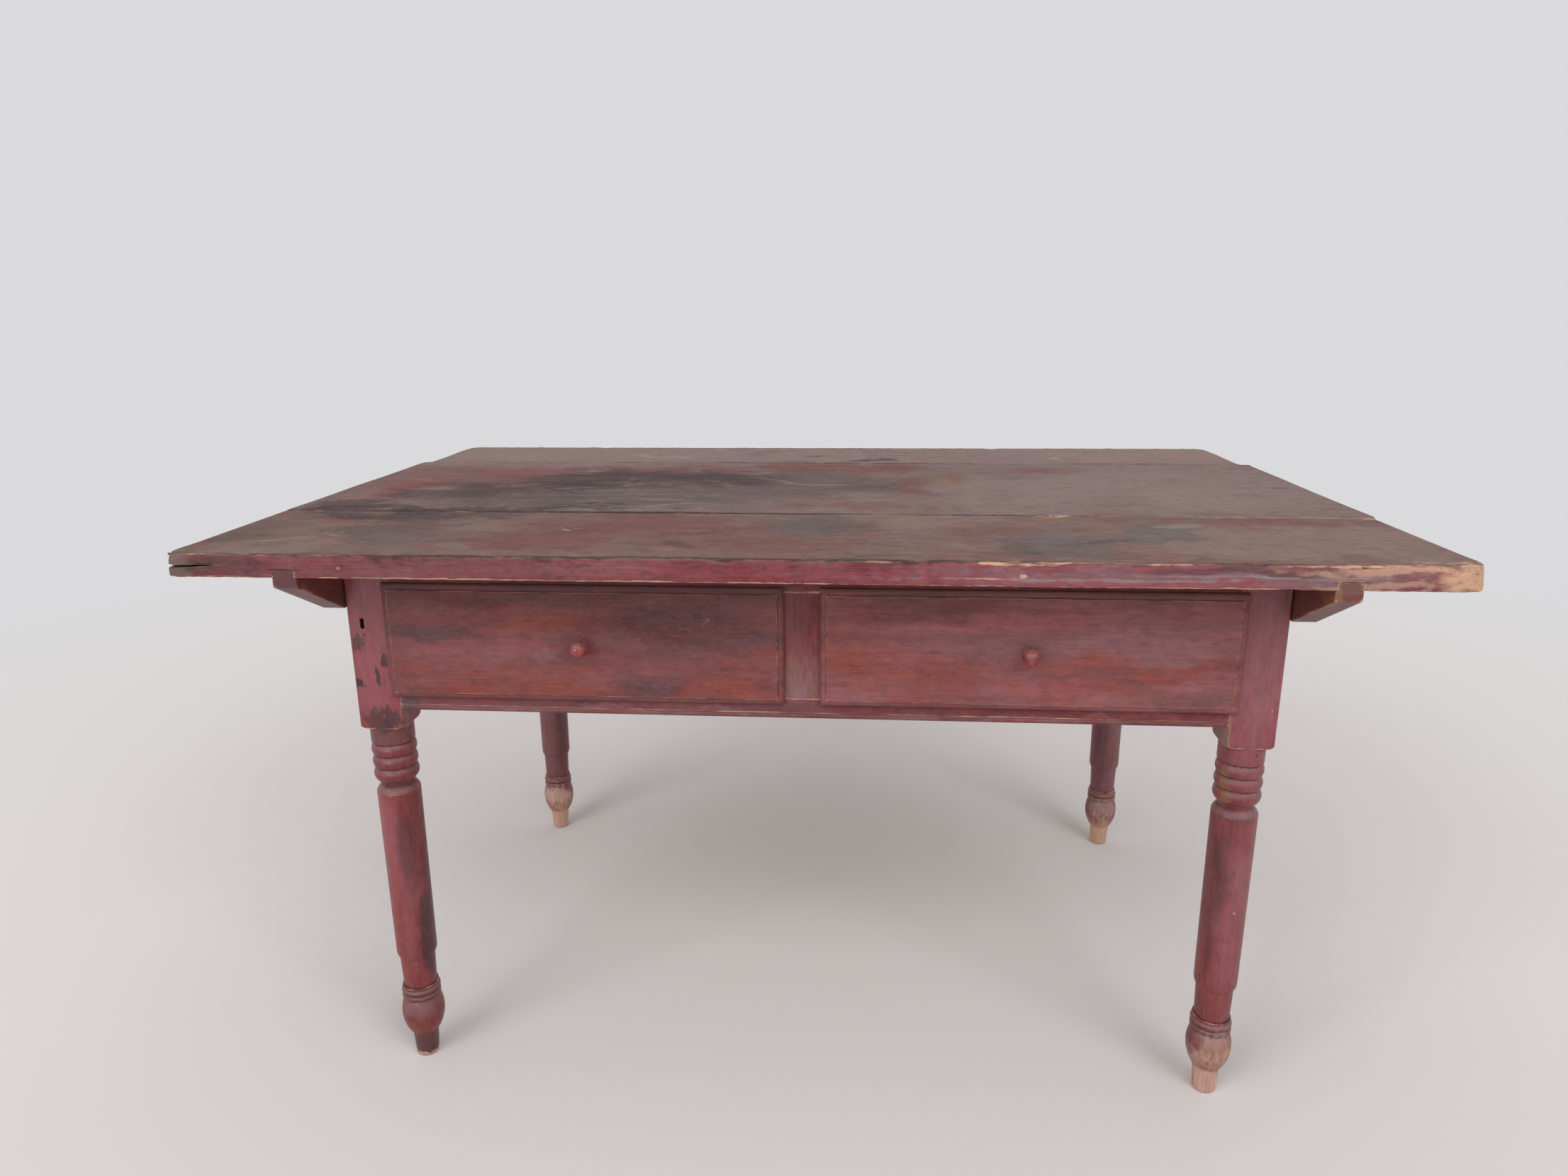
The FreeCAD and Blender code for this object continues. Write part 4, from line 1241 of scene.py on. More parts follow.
@dataclass(frozen=True)
class TableTop:
    """The top: three wide boards, butted edge to edge, each with its own wear and stains."""

    front_joint: float = -198.0
    back_joint: float = 252.0
    front_edge: float = -450.0
    back_edge: float = 450.0
    half_length: float = 700.0
    back_half_length: float = 685.0
    cut_step: float = 6.0

    edge_layers = (
        Layer(Tone.PLUM, 14.0, 0.35, 6.0, 0.14, 0.5, seed=1.0),
        Layer(Tone.FADED_RED, 30.0, 0.35, 4.0, 0.14, 0.5, seed=6.0),
        Layer(Tone.DUSTY_PINK, 6.0, 0.28, 7.0, 0.12, 0.5, seed=9.0),
    )
    specks = (
        Fleck(Tone.PALE_DUST, 42.0, 1.2, 0.3, 1.6, seed=3.0),
        Fleck(Tone.PALE_PINE, 26.0, 0.8, 0.25, 1.5, seed=5.0),
        Fleck(Tone.CHARCOAL, 28.0, 1.4, 0.4, 2.5, seed=7.0),
        Fleck(Tone.PALE_DUST, 60.0, 0.5, 0.35, 14.0, seed=12.0),
    )

    def edge_mark(
        self, tone: Tone | None, place: tuple[float, float], half: tuple[float, float, float],
        strength: float, edge: float = 0.4, wander: float = 1.0, broken: float = 0.4,
    ) -> Patch:
        """Place a mark on the top's front edge.

        Args:
            tone: its tone, or None for a bare place.
            place: the middle, as x and z in millimetres.
            half: half its size on each axis.
            strength: how strongly it covers.
            edge: how softly it ends.
            wander: how unevenly its outline runs.
            broken: how far it breaks up.

        Returns:
            The patch.
        """
        at = (place[0], self.front_edge, place[1])
        return Patch(tone, at, half, strength, edge, wander=wander, broken=broken)

    def front_board(self) -> WornBrownTop:
        """Describe the finish of the front board.

        Returns:
            The finish.
        """
        return WornBrownTop(
            "worn_brown_top_front", Grain.ALONG_X,
            layers=self.edge_layers,
            patches=(
                self.edge_mark(Tone.RASPBERRY, (-10, 716), (230, 20, 20), 0.75),
                self.edge_mark(Tone.PLUM, (-350, 717), (120, 20, 11), 0.5, 0.5, wander=0.3),
                self.edge_mark(Tone.FADED_RASPBERRY, (-330, 715), (240, 20, 14), 0.4, 0.5, wander=0.3),
                self.edge_mark(Tone.FADED_RASPBERRY, (400, 715), (340, 20, 16), 0.85, 0.5, wander=0.3),
                self.edge_mark(Tone.DUSTY_PINK, (380, 718), (240, 20, 6), 0.7, wander=0.2, broken=0.9),
                self.edge_mark(Tone.DUSTY_PINK, (560, 715), (110, 20, 16), 0.7, 0.5, wander=0.2, broken=0.7),
                self.edge_mark(Tone.PALE_DUST, (300, 712), (160, 20, 1.6), 0.5, wander=0.06, broken=1.2),
                self.edge_mark(Tone.PALE_DUST, (470, 717), (120, 20, 1.4), 0.5, wander=0.06, broken=1.2),
                self.edge_mark(Tone.PLUM, (470, 723), (110, 20, 4), 0.55, wander=0.2),
                self.edge_mark(Tone.PLUM, (-640, 716), (60, 20, 12), 0.6, wander=0.4),
                self.edge_mark(Tone.CHARCOAL, (-690, 716), (44, 20, 5), 0.7, wander=0.2),
                self.edge_mark(Tone.DUSTY_PINK, (-694, 727), (14, 20, 4), 0.6, wander=0.2),
            ),
            bare=(
                Patch(None, (706.0, -452.0, 715.0), (62.0, 30.0, 20.0), 0.9, 0.5, wander=0.25, broken=0.9),
                self.edge_mark(None, (610, 724), (90, 12, 4), 0.6, 0.5, wander=0.15, broken=1.0),
                self.edge_mark(None, (610, 708), (70, 12, 3), 0.45, 0.5, wander=0.15, broken=1.0),
                self.edge_mark(None, (-498, 716), (2, 6, 2.4), 0.7, 0.2, wander=0.12, broken=1.0),
                self.edge_mark(None, (237, 716), (4, 8, 2), 0.75, 0.2, wander=0.12, broken=1.0),
                self.edge_mark(None, (222, 727.5), (34, 8, 1.6), 0.8, 0.3, wander=0.06, broken=0.8),
                self.edge_mark(None, (196, 712), (22, 8, 0.8), 0.5, 0.3, wander=0.06, broken=0.8),
                self.edge_mark(None, (250, 730), (190, 5, 1.2), 0.7, 0.3, wander=0.05, broken=1.2),
                self.edge_mark(None, (590, 729.5), (90, 5, 1.4), 0.7, 0.3, wander=0.05, broken=1.2),
                self.edge_mark(None, (-420, 730), (300, 4, 0.9), 0.6, 0.3, wander=0.04, broken=1.4),
                self.edge_mark(None, (-250, 703.8), (430, 6, 1.1), 0.7, 0.3, wander=0.05, broken=1.3),
                self.edge_mark(None, (400, 703.8), (290, 6, 1), 0.55, 0.3, wander=0.05, broken=1.3),
            ),
            late_marks=(
                self.edge_mark(Tone.GRIME_AND_SHADE, (-562.5, 712.5), (17, 12, 1.3), 0.8, 0.3, wander=0.05),
                self.edge_mark(Tone.GRIME_AND_SHADE, (562.5, 712.5), (17, 12, 1.3), 0.8, 0.3, wander=0.05),
                self.edge_mark(Tone.GRIME_AND_SHADE, (-676, 716), (40, 16, 3.2), 0.8, 0.5, wander=0.15),
                self.edge_mark(Tone.MAUVE_GREY, (-694, 719), (26, 16, 13), 0.6, wander=0.4, broken=0.8),
                stain(Tone.GRIME_AND_SHADE, (-80, -446), (620, 2.6), 0.7, wander=0.05, broken=0.9),
            ),
            flecks=self.specks,
            face_ground=Tone.WORN_BROWN,
            face_layers=(
                Layer(Tone.DRAB, 120.0, 0.4, 1.8, 0.16, 0.5, seed=19.0),
                Layer(Tone.OLIVE, 60.0, 0.4, 1.8, 0.14, 0.55, seed=20.0),
                Layer(Tone.FADED_RED, 80.0, 0.32, 1.6, 0.12, 0.6, seed=21.0),
                Layer(Tone.SMOKE, 34.0, 0.35, 1.5, 0.12, 0.45, seed=22.0),
                Layer(Tone.RUST, 24.0, 0.24, 2.0, 0.10, 0.28, seed=23.0),
                Layer(Tone.PALE_MAUVE, 16.0, 0.35, 2.0, 0.12, 0.35, seed=24.0),
            ),
            face_patches=(
                stain(Tone.FADED_RED, (-201, -281), (130, 80), 0.8),
                stain(Tone.FADED_RED, (-305, -362), (85, 48), 0.7),
                stain(Tone.FADED_RED, (-60, -400), (150, 40), 0.45),
                stain(Tone.DRAB, (560, -340), (170, 90), 0.6),
                stain(Tone.DRAB, (160, -250), (110, 50), 0.5),
                stain(Tone.FADED_RED, (560, -235), (70, 26), 0.4),
                stain(Tone.FADED_RED, (-60, -320), (60, 60), 0.5),
                stain(Tone.FADED_RED, (190, -300), (60, 50), 0.4),
                stain(Tone.RUST, (-600, -255), (26, 34), 0.4),
                stain(Tone.PALE_MAUVE, (-610, -410), (60, 40), 0.4),
                stain(Tone.UMBER_STAIN, (-505, -320), (74, 66), 0.6),
                stain(Tone.SLATE, (-480, -370), (60, 40), 0.4),
                stain(Tone.UMBER_STAIN, (30, -290), (70, 50), 0.55),
                stain(Tone.SLATE, (0, -270), (60, 50), 0.45),
                stain(Tone.CHARCOAL, (-142, -398), (26, 16), 0.45),
                stain(Tone.CHARCOAL, (-96, -298), (18, 12), 0.4),
                stain(Tone.CHARCOAL, (95, -390), (30, 10), 0.35),
                stain(Tone.OLIVE, (-624, -350), (46, 54), 0.6),
                stain(Tone.UMBER_STAIN, (-664, -300), (40, 90), 0.5),
                stain(Tone.PALE_DUST, (-618, -372), (26, 5), 0.3, 10, broken=1.2),
                stain(Tone.PALE_DUST, (-560, -352), (20, 4), 0.25, -8, broken=1.2),
                stain(Tone.CHARCOAL, (-520, -224), (140, 34), 0.9, edge=0.5),
                stain(Tone.SLATE, (290, -382), (64, 60), 0.75, edge=0.15),
                stain(Tone.SLATE, (424, -288), (34, 52), 0.75, -20, edge=0.15),
                stain(Tone.SLATE, (362, -338), (62, 15), 0.7, 28, edge=0.15),
                stain(Tone.UMBER_STAIN, (250, -400), (16, 50), 0.5),
                stain(Tone.UMBER_STAIN, (330, -352), (44, 6), 0.5, 20, 0.3),
                stain(Tone.PALE_DUST, (440, -262), (30, 12), 0.35, 20, 0.4),
                stain(Tone.PALE_DUST, (-288, -308), (9, 2.4), 0.6, -40, 0.2),
                stain(Tone.PALE_DUST, (-276, -300), (7, 2.0), 0.5, 30, 0.2),
            ) + self.joint_dirt(),
        )

    def middle_board(self) -> WornBrownTop:
        """Describe the finish of the middle board.

        Returns:
            The finish.
        """
        return WornBrownTop(
            "worn_brown_top_middle", Grain.ALONG_X,
            layers=self.edge_layers,
            flecks=self.specks,
            face_ground=Tone.MAUVE_GREY,
            face_layers=(
                Layer(Tone.WORN_BROWN, 110.0, 0.4, 1.6, 0.18, 0.6, seed=30.0),
                Layer(Tone.SMOKE, 52.0, 0.3, 1.6, 0.12, 0.4, seed=31.0),
                Layer(Tone.FADED_RED, 38.0, 0.24, 1.6, 0.10, 0.35, seed=32.0),
                Layer(Tone.OLIVE, 26.0, 0.3, 1.8, 0.12, 0.35, seed=34.0),
                Layer(Tone.PALE_MAUVE, 15.0, 0.4, 2.0, 0.12, 0.35, seed=33.0),
            ),
            face_patches=(
                stain(Tone.PALE_MAUVE, (520, 40), (200, 190), 0.7, edge=0.5),
                stain(Tone.PALE_MAUVE, (250, -50), (120, 130), 0.6, edge=0.5),
                stain(Tone.DRAB, (560, -90), (150, 60), 0.4),
                stain(Tone.FADED_RED, (-560, 60), (190, 170), 0.6, edge=0.5),
                stain(Tone.DUSTY_PINK, (-470, 222), (210, 42), 0.4),
                stain(Tone.FADED_RED, (-250, 165), (230, 48), 0.75),
                stain(Tone.BRICK, (-476, 122), (62, 36), 0.5),
                stain(Tone.BRICK, (-606, 10), (50, 60), 0.5),
                stain(Tone.BRICK, (-640, -90), (46, 60), 0.5),
                stain(Tone.BRICK, (-307, 132), (26, 48), 0.55),
                stain(Tone.FADED_RED, (30, 190), (140, 56), 0.75),
                stain(Tone.SMOKE, (-30, 110), (90, 50), 0.6),
                stain(Tone.SMOKE, (-20, 20), (170, 100), 0.85),
                stain(Tone.SLATE, (-245, -90), (165, 96), 0.6, edge=0.5),
                stain(Tone.UMBER_STAIN, (-245, -100), (150, 70), 0.45, broken=0.8),
                stain(Tone.SLATE, (-20, 40), (80, 46), 0.6),
                stain(Tone.UMBER_STAIN, (-290, 50), (230, 100), 0.6, edge=0.6),
                stain(Tone.CHARCOAL, (-192, 76), (124, 66), 0.9, edge=0.5),
                stain(Tone.CHARCOAL, (-362, 76), (78, 90), 0.9, edge=0.5),
                stain(Tone.CHARCOAL, (-505, -40), (108, 66), 0.8, edge=0.5),
                stain(Tone.UMBER_STAIN, (-470, -90), (130, 60), 0.6, edge=0.5),
                stain(Tone.CHARCOAL, (-640, -160), (54, 52), 0.8, edge=0.5),
                stain(Tone.CHARCOAL, (-520, -186), (180, 20), 0.8),
                stain(Tone.CHARCOAL, (-336, -166), (100, 16), 0.7, broken=1.0),
                stain(Tone.CHARCOAL, (-300, -136), (70, 8), 0.6, 3, broken=1.0),
                stain(Tone.CHARCOAL, (-190, -170), (60, 6), 0.5, -4, broken=1.0),
                stain(Tone.CHARCOAL, (20, -6), (60, 5), 0.6, -4, broken=0.8),
                stain(Tone.CHARCOAL, (90, 30), (50, 34), 0.35),
                stain(Tone.CHARCOAL, (-98, 150), (5, 60), 0.4),
                stain(Tone.FADED_RED, (136, 20), (30, 90), 0.6),
                stain(Tone.OLIVE, (196, 100), (52, 62), 0.6),
                stain(Tone.OCHRE, (200, 60), (22, 56), 0.3, 8),
                stain(Tone.RUST, (224, 84), (18, 40), 0.5, 8),
                stain(Tone.FADED_RED, (340, 170), (50, 44), 0.45),
                stain(Tone.FADED_RED, (60, -130), (110, 30), 0.4),
                stain(Tone.PALE_DUST, (-60, 66), (34, 2.6), 0.5, -42, 0.25),
                stain(Tone.PALE_DUST, (-14, 34), (50, 2.6), 0.45, -16, 0.25),
                stain(Tone.PALE_DUST, (16, 26), (36, 2.2), 0.4, 10, 0.25),
                stain(Tone.PALE_DUST, (-200, -140), (50, 3.0), 0.45, 10, 0.3, broken=1.0),
                stain(Tone.PALE_DUST, (-210, -100), (60, 5.0), 0.3, -8, 0.3, broken=1.2),
                stain(Tone.PALE_DUST, (-250, -60), (70, 4.0), 0.25, 4, 0.3, broken=1.2),
                stain(Tone.PALE_DUST, (-350, -6), (30, 3.0), 0.4, 16, 0.3, broken=1.0),
                stain(Tone.PALE_DUST, (-620, 56), (30, 2.2), 0.3, -20, 0.3, broken=1.0),
                stain(Tone.GRIME_AND_SHADE, (660, 18), (14, 4), 0.9, 4, 0.2),
                stain(Tone.GRIME_AND_SHADE, (640, 16), (50, 1.3), 0.8, 2, 0.1),
            ) + self.joint_dirt(),
        )

    def back_board(self) -> WornBrownTop:
        """Describe the finish of the back board.

        Returns:
            The finish.
        """
        return WornBrownTop(
            "worn_brown_top_back", Grain.ALONG_X,
            layers=self.edge_layers,
            flecks=self.specks,
            # The back board's pale mauve ground is worn paint and partly a painted reflection of the pale
            # air, seen at a grazing angle.
            face_ground=Tone.PALE_MAUVE,
            face_layers=(
                Layer(Tone.MAUVE_GREY, 120.0, 0.4, 1.8, 0.16, 0.5, seed=40.0),
                Layer(Tone.DRAB, 90.0, 0.4, 1.6, 0.14, 0.5, seed=44.0),
                Layer(Tone.OLIVE, 60.0, 0.26, 1.6, 0.12, 0.3, seed=41.0),
                Layer(Tone.DUSTY_PINK, 40.0, 0.35, 1.8, 0.12, 0.4, seed=42.0),
                Layer(Tone.MAUVE_GREY, 14.0, 0.4, 2.0, 0.12, 0.35, seed=43.0),
            ),
            face_patches=(
                stain(Tone.PALE_DUST, (-270, 318), (56, 13), 0.5, broken=0.9),
                stain(Tone.PALE_DUST, (-209, 416), (13, 14), 0.5),
                stain(Tone.OLIVE, (96, 380), (44, 48), 0.5, edge=0.2),
                stain(Tone.PALE_MAUVE, (96, 380), (27, 28), 0.55, edge=0.25),
                stain(Tone.FADED_RED, (-110, 350), (18, 60), 0.3),
                stain(Tone.CHARCOAL, (70, 272), (56, 14), 0.75),
                stain(Tone.CHARCOAL, (96, 292), (16, 20), 0.6),
                stain(Tone.CHARCOAL, (-6, 322), (18, 7), 0.7),
                stain(Tone.CHARCOAL, (-36, 272), (26, 9), 0.6),
                stain(Tone.DRAB, (560, 350), (170, 80), 0.7, edge=0.5),
                stain(Tone.DRAB, (-560, 360), (170, 70), 0.4, edge=0.5),
                stain(Tone.PALE_DUST, (400, 312), (5, 12), 0.6, 0, 0.2),
            ) + self.joint_dirt(),
        )

    def joint_dirt(self) -> tuple[Patch, ...]:
        """Describe the dirt and the worn arrises along the two joints.

        Returns:
            The patches.
        """
        return (
            stain(Tone.GRIME_AND_SHADE, (-400, self.front_joint + 1.0), (330, 7.0), 1.0, wander=0.08),
            stain(Tone.GRIME_AND_SHADE, (60, self.front_joint), (310, 4.0), 0.9, wander=0.05),
            stain(
                Tone.WORN_PINE_DARK, (420, self.front_joint - 2.0), (320, 2.4), 0.6, wander=0.06, broken=1.0,
            ),
            stain(Tone.WORN_PINE, (306, self.front_joint - 5.0), (24, 5.0), 0.8, wander=0.2, broken=1.0),
            stain(Tone.WORN_PINE, (590, self.front_joint - 3.0), (130, 3.2), 0.75, wander=0.1, broken=1.0),
            stain(Tone.WORN_PINE, (690, self.front_joint - 2.0), (14, 8.0), 0.8, wander=0.2, broken=0.9),
            stain(Tone.WORN_PINE, (-655, self.front_joint - 4.0), (24, 3.0), 0.6, wander=0.1, broken=1.0),
            stain(Tone.GRIME_AND_SHADE, (-20, self.back_joint), (260, 5.0), 0.85, wander=0.06),
            stain(Tone.GRIME_AND_SHADE, (330, self.back_joint), (380, 3.2), 0.7, wander=0.06),
            stain(Tone.GRIME_AND_SHADE, (-480, self.back_joint), (220, 2.4), 0.5, wander=0.06),
        )

    def end_arrises(self, half_length: float) -> tuple[Arris, ...]:
        """Describe the wear of a board's upper arrises at its two ends.

        Args:
            half_length: half the board's length.

        Returns:
            The two arrises.
        """
        return (
            Arris(half_length, None, TOP_FACE, wear=1.8),
            Arris(-half_length, None, TOP_FACE, wear=1.8),
        )

    def worn_front(self) -> WornBoard:
        """Describe the front board's wear: its front arrises, both corners and many knocks.

        Returns:
            The board.
        """
        edge, face = self.front_edge, TOP_FACE
        return WornBoard(
            "top_board_front",
            steps(-696.0, 696.0, self.cut_step),
            (-448.5, -446.5, -444.0, -441.0, -437.0, -432.0, -425.0, -412.0, -390.0, -203.0, -200.5),
            self.end_arrises(self.half_length) + (
                Arris(None, edge, face, 5.0, 1.0),
                Arris(None, edge, TOP_UNDERSIDE, 5.0, 0.9),
                Arris(None, self.front_joint, face, 5.0, 1.6),
            ),
            (
                Dent((700.0, edge, face), 26.0, 3.4),
                Dent((686.0, edge, 716.0), 14.0, 1.4),
                Dent((664.0, edge, face), 12.0, 2.2),
                Dent((628.0, edge, face), 10.0, 1.6),
                Dent((585.0, edge, face), 14.0, 1.4),
                Dent((505.0, edge, 704.0), 12.0, 1.2),
                Dent((470.0, edge, face), 10.0, 1.2),
                Dent((352.0, edge, face), 12.0, 1.2),
                Dent((238.0, edge, 718.0), 8.0, 1.6),
                Dent((226.0, edge, face), 15.0, 2.4),
                Dent((120.0, edge, face), 12.0, 1.1),
                Dent((-75.0, edge, face), 9.0, 1.1),
                Dent((-210.0, edge, face), 11.0, 1.0),
                Dent((-365.0, edge, face), 9.0, 1.3),
                Dent((-498.0, edge, 716.0), 7.0, 1.5),
                Dent((-612.0, edge, face), 11.0, 1.4),
                Dent((-700.0, edge, face), 20.0, 2.6),
                Dent((700.0, self.front_joint, face), 12.0, 2.4),
                Dent((306.0, self.front_joint, face), 16.0, 2.2),
            ),
        )

    def worn_middle(self) -> WornBoard:
        """Describe the middle board's wear, at its joints and its ends.

        Returns:
            The board.
        """
        face = TOP_FACE
        return WornBoard(
            "top_board_middle",
            steps(-696.0, 696.0, self.cut_step),
            (-195.5, -193.0, -188.0, -100.0, 0.0, 100.0, 242.0, 247.0, 249.5),
            self.end_arrises(self.half_length) + (
                Arris(None, self.front_joint, face, 5.0, 1.2),
                Arris(None, self.back_joint, face, 5.0, 1.4),
            ),
            (
                Dent((700.0, 18.0, face), 13.0, 3.0),
                Dent((700.0, self.front_joint, face), 10.0, 2.0),
                Dent((-700.0, self.back_joint, face), 14.0, 2.0),
                Dent((-700.0, 90.0, face), 14.0, 1.6),
            ),
        )

    def worn_back(self) -> WornBoard:
        """Describe the back board's wear, at its joint, its ends and its rear arris.

        Returns:
            The board.
        """
        face = TOP_FACE
        return WornBoard(
            "top_board_back",
            steps(-678.0, 678.0, self.cut_step),
            (254.5, 257.0, 262.0, 320.0, 380.0, 420.0, 436.0, 442.0, 446.0, 448.5),
            self.end_arrises(self.back_half_length) + (
                Arris(None, self.back_joint, face, 5.0, 1.6),
                Arris(None, self.back_edge, face, 7.0, 1.6),
                Arris(None, self.back_edge, TOP_UNDERSIDE, 5.0, 1.0),
            ),
            (
                Dent((72.0, self.back_joint, face), 16.0, 1.8),
                Dent((-6.0, self.back_joint, face), 10.0, 1.4),
                Dent((300.0, self.back_edge, face), 16.0, 1.6),
                Dent((-420.0, self.back_edge, face), 13.0, 1.4),
            ),
        )

    def build(self) -> None:
        """Dress the three boards, and model the worn ones that stand for them."""
        for board, finish in (
            (self.worn_front(), self.front_board()),
            (self.worn_middle(), self.middle_board()),
            (self.worn_back(), self.back_board()),
        ):
            material = finish.build()
            dress(board.node, material)
            board.build(material)


@dataclass(frozen=True)
class Underframe:
    """Rails, stile, aprons and pegs, painted where they show and bare inside."""

    back_face: float = 350.0
    end_face: float = 545.0

    front_side = (Side("Y", FRONT_FACE + 1.0, -1),)
    streaks = (
        Layer(Tone.OXBLOOD, 18.0, 0.35, 6.0, 0.16, 0.5, seed=51.0),
        Layer(Tone.BRICK, 26.0, 0.35, 5.0, 0.16, 0.5, seed=52.0),
    )
    specks = (
        Fleck(Tone.PALE_DUST, 40.0, 0.9, 0.3, 1.5, seed=53.0),
        Fleck(Tone.GRIME_AND_SHADE, 30.0, 1.0, 0.3, 2.0, seed=54.0),
    )

    def rail(self) -> OldRedPaint:
        """Describe the finish of the two front rails, with painted shade under the drawer lips.

        Returns:
            The finish.
        """
        return OldRedPaint(
            "old_red_paint_rails", Grain.ALONG_X, Tone.RASPBERRY, self.streaks,
            (
                mark(Tone.CHARCOAL, (-486, 521), (13, 12), 0.85, wander=0.3),
                # A dark band along the bottom rail's upper edge, under the drawer lips: painted shade.
                mark(Tone.OXBLOOD, (0, 524), (560, 8), 0.4),
                mark(Tone.DUSTY_PINK, (-240, 515), (200, 3), 0.35, broken=0.8),
                mark(Tone.DUSTY_PINK, (200, 515), (220, 3), 0.35, broken=0.8),
            ),
            self.specks, self.front_side, dust=0.3, arris_wear=0.3,
        )

    def stile(self) -> OldRedPaint:
        """Describe the finish of the stile between the drawers.

        Returns:
            The finish.
        """
        return OldRedPaint(
            "old_red_paint_stile", Grain.ALONG_Z, Tone.LEG_RED, self.streaks,
            (
                mark(Tone.DUSTY_PINK, (0, 556), (26, 50), 0.4, wander=0.4, broken=0.8),
                mark(Tone.PALE_DUST, (-2, 542), (18, 26), 0.25, wander=0.4, broken=1.0),
                mark(Tone.OXBLOOD, (0, 650), (22, 30), 0.4, wander=0.4),
                mark(Tone.RUST, (12, 548), (6, 14), 0.6, wander=0.2, broken=0.8),
                mark(Tone.OCHRE, (-6, 580), (10, 16), 0.4, wander=0.2, broken=1.2),
            ),
            self.specks + (Fleck(Tone.RUST, 14.0, 1.4, 0.3, 1.5, seed=55.0),),
            self.front_side, dust=0.3,
        )

    def apron(self, name: str, grain: Grain, sides: tuple[Side, ...]) -> OldRedPaint:
        """Describe the finish of an apron.

        Args:
            name: the material's name.
            grain: the way its fibres run.
            sides: its painted sides.

        Returns:
            The finish.
        """
        return OldRedPaint(
            name, grain, Tone.RASPBERRY,
            self.streaks + (Layer(Tone.PLUM, 60.0, 0.35, 3.0, 0.14, 0.5, seed=56.0),),
            flecks=self.specks, sides=sides,
        )

    def build(self) -> None:
        """Dress the rails, the stile, the aprons and their pegs."""
        ends = (Side("X", self.end_face - 1.0, 1), Side("X", 1.0 - self.end_face, -1))
        back = (Side("Y", self.back_face - 1.0, 1),)
        pegs = OldRedPaint(
            "old_red_paint_pegs", Grain.ALONG_X, Tone.OXBLOOD, self.streaks,
            sides=ends + back, arris_wear=0.5,
        )
        for finish, nodes in (
            (self.rail(), ("front_top_rail", "front_bottom_rail")),
            (self.stile(), ("centre_stile",)),
            (self.apron("old_red_paint_ends", Grain.ALONG_Y, ends), ("end_apron_left", "end_apron_right")),
            (self.apron("old_red_paint_back", Grain.ALONG_X, back), ("back_apron",)),
            (pegs, ("end_apron_pegs", "back_apron_pegs")),
        ):
            material = finish.build()
            for node in nodes:
                dress(node, material)


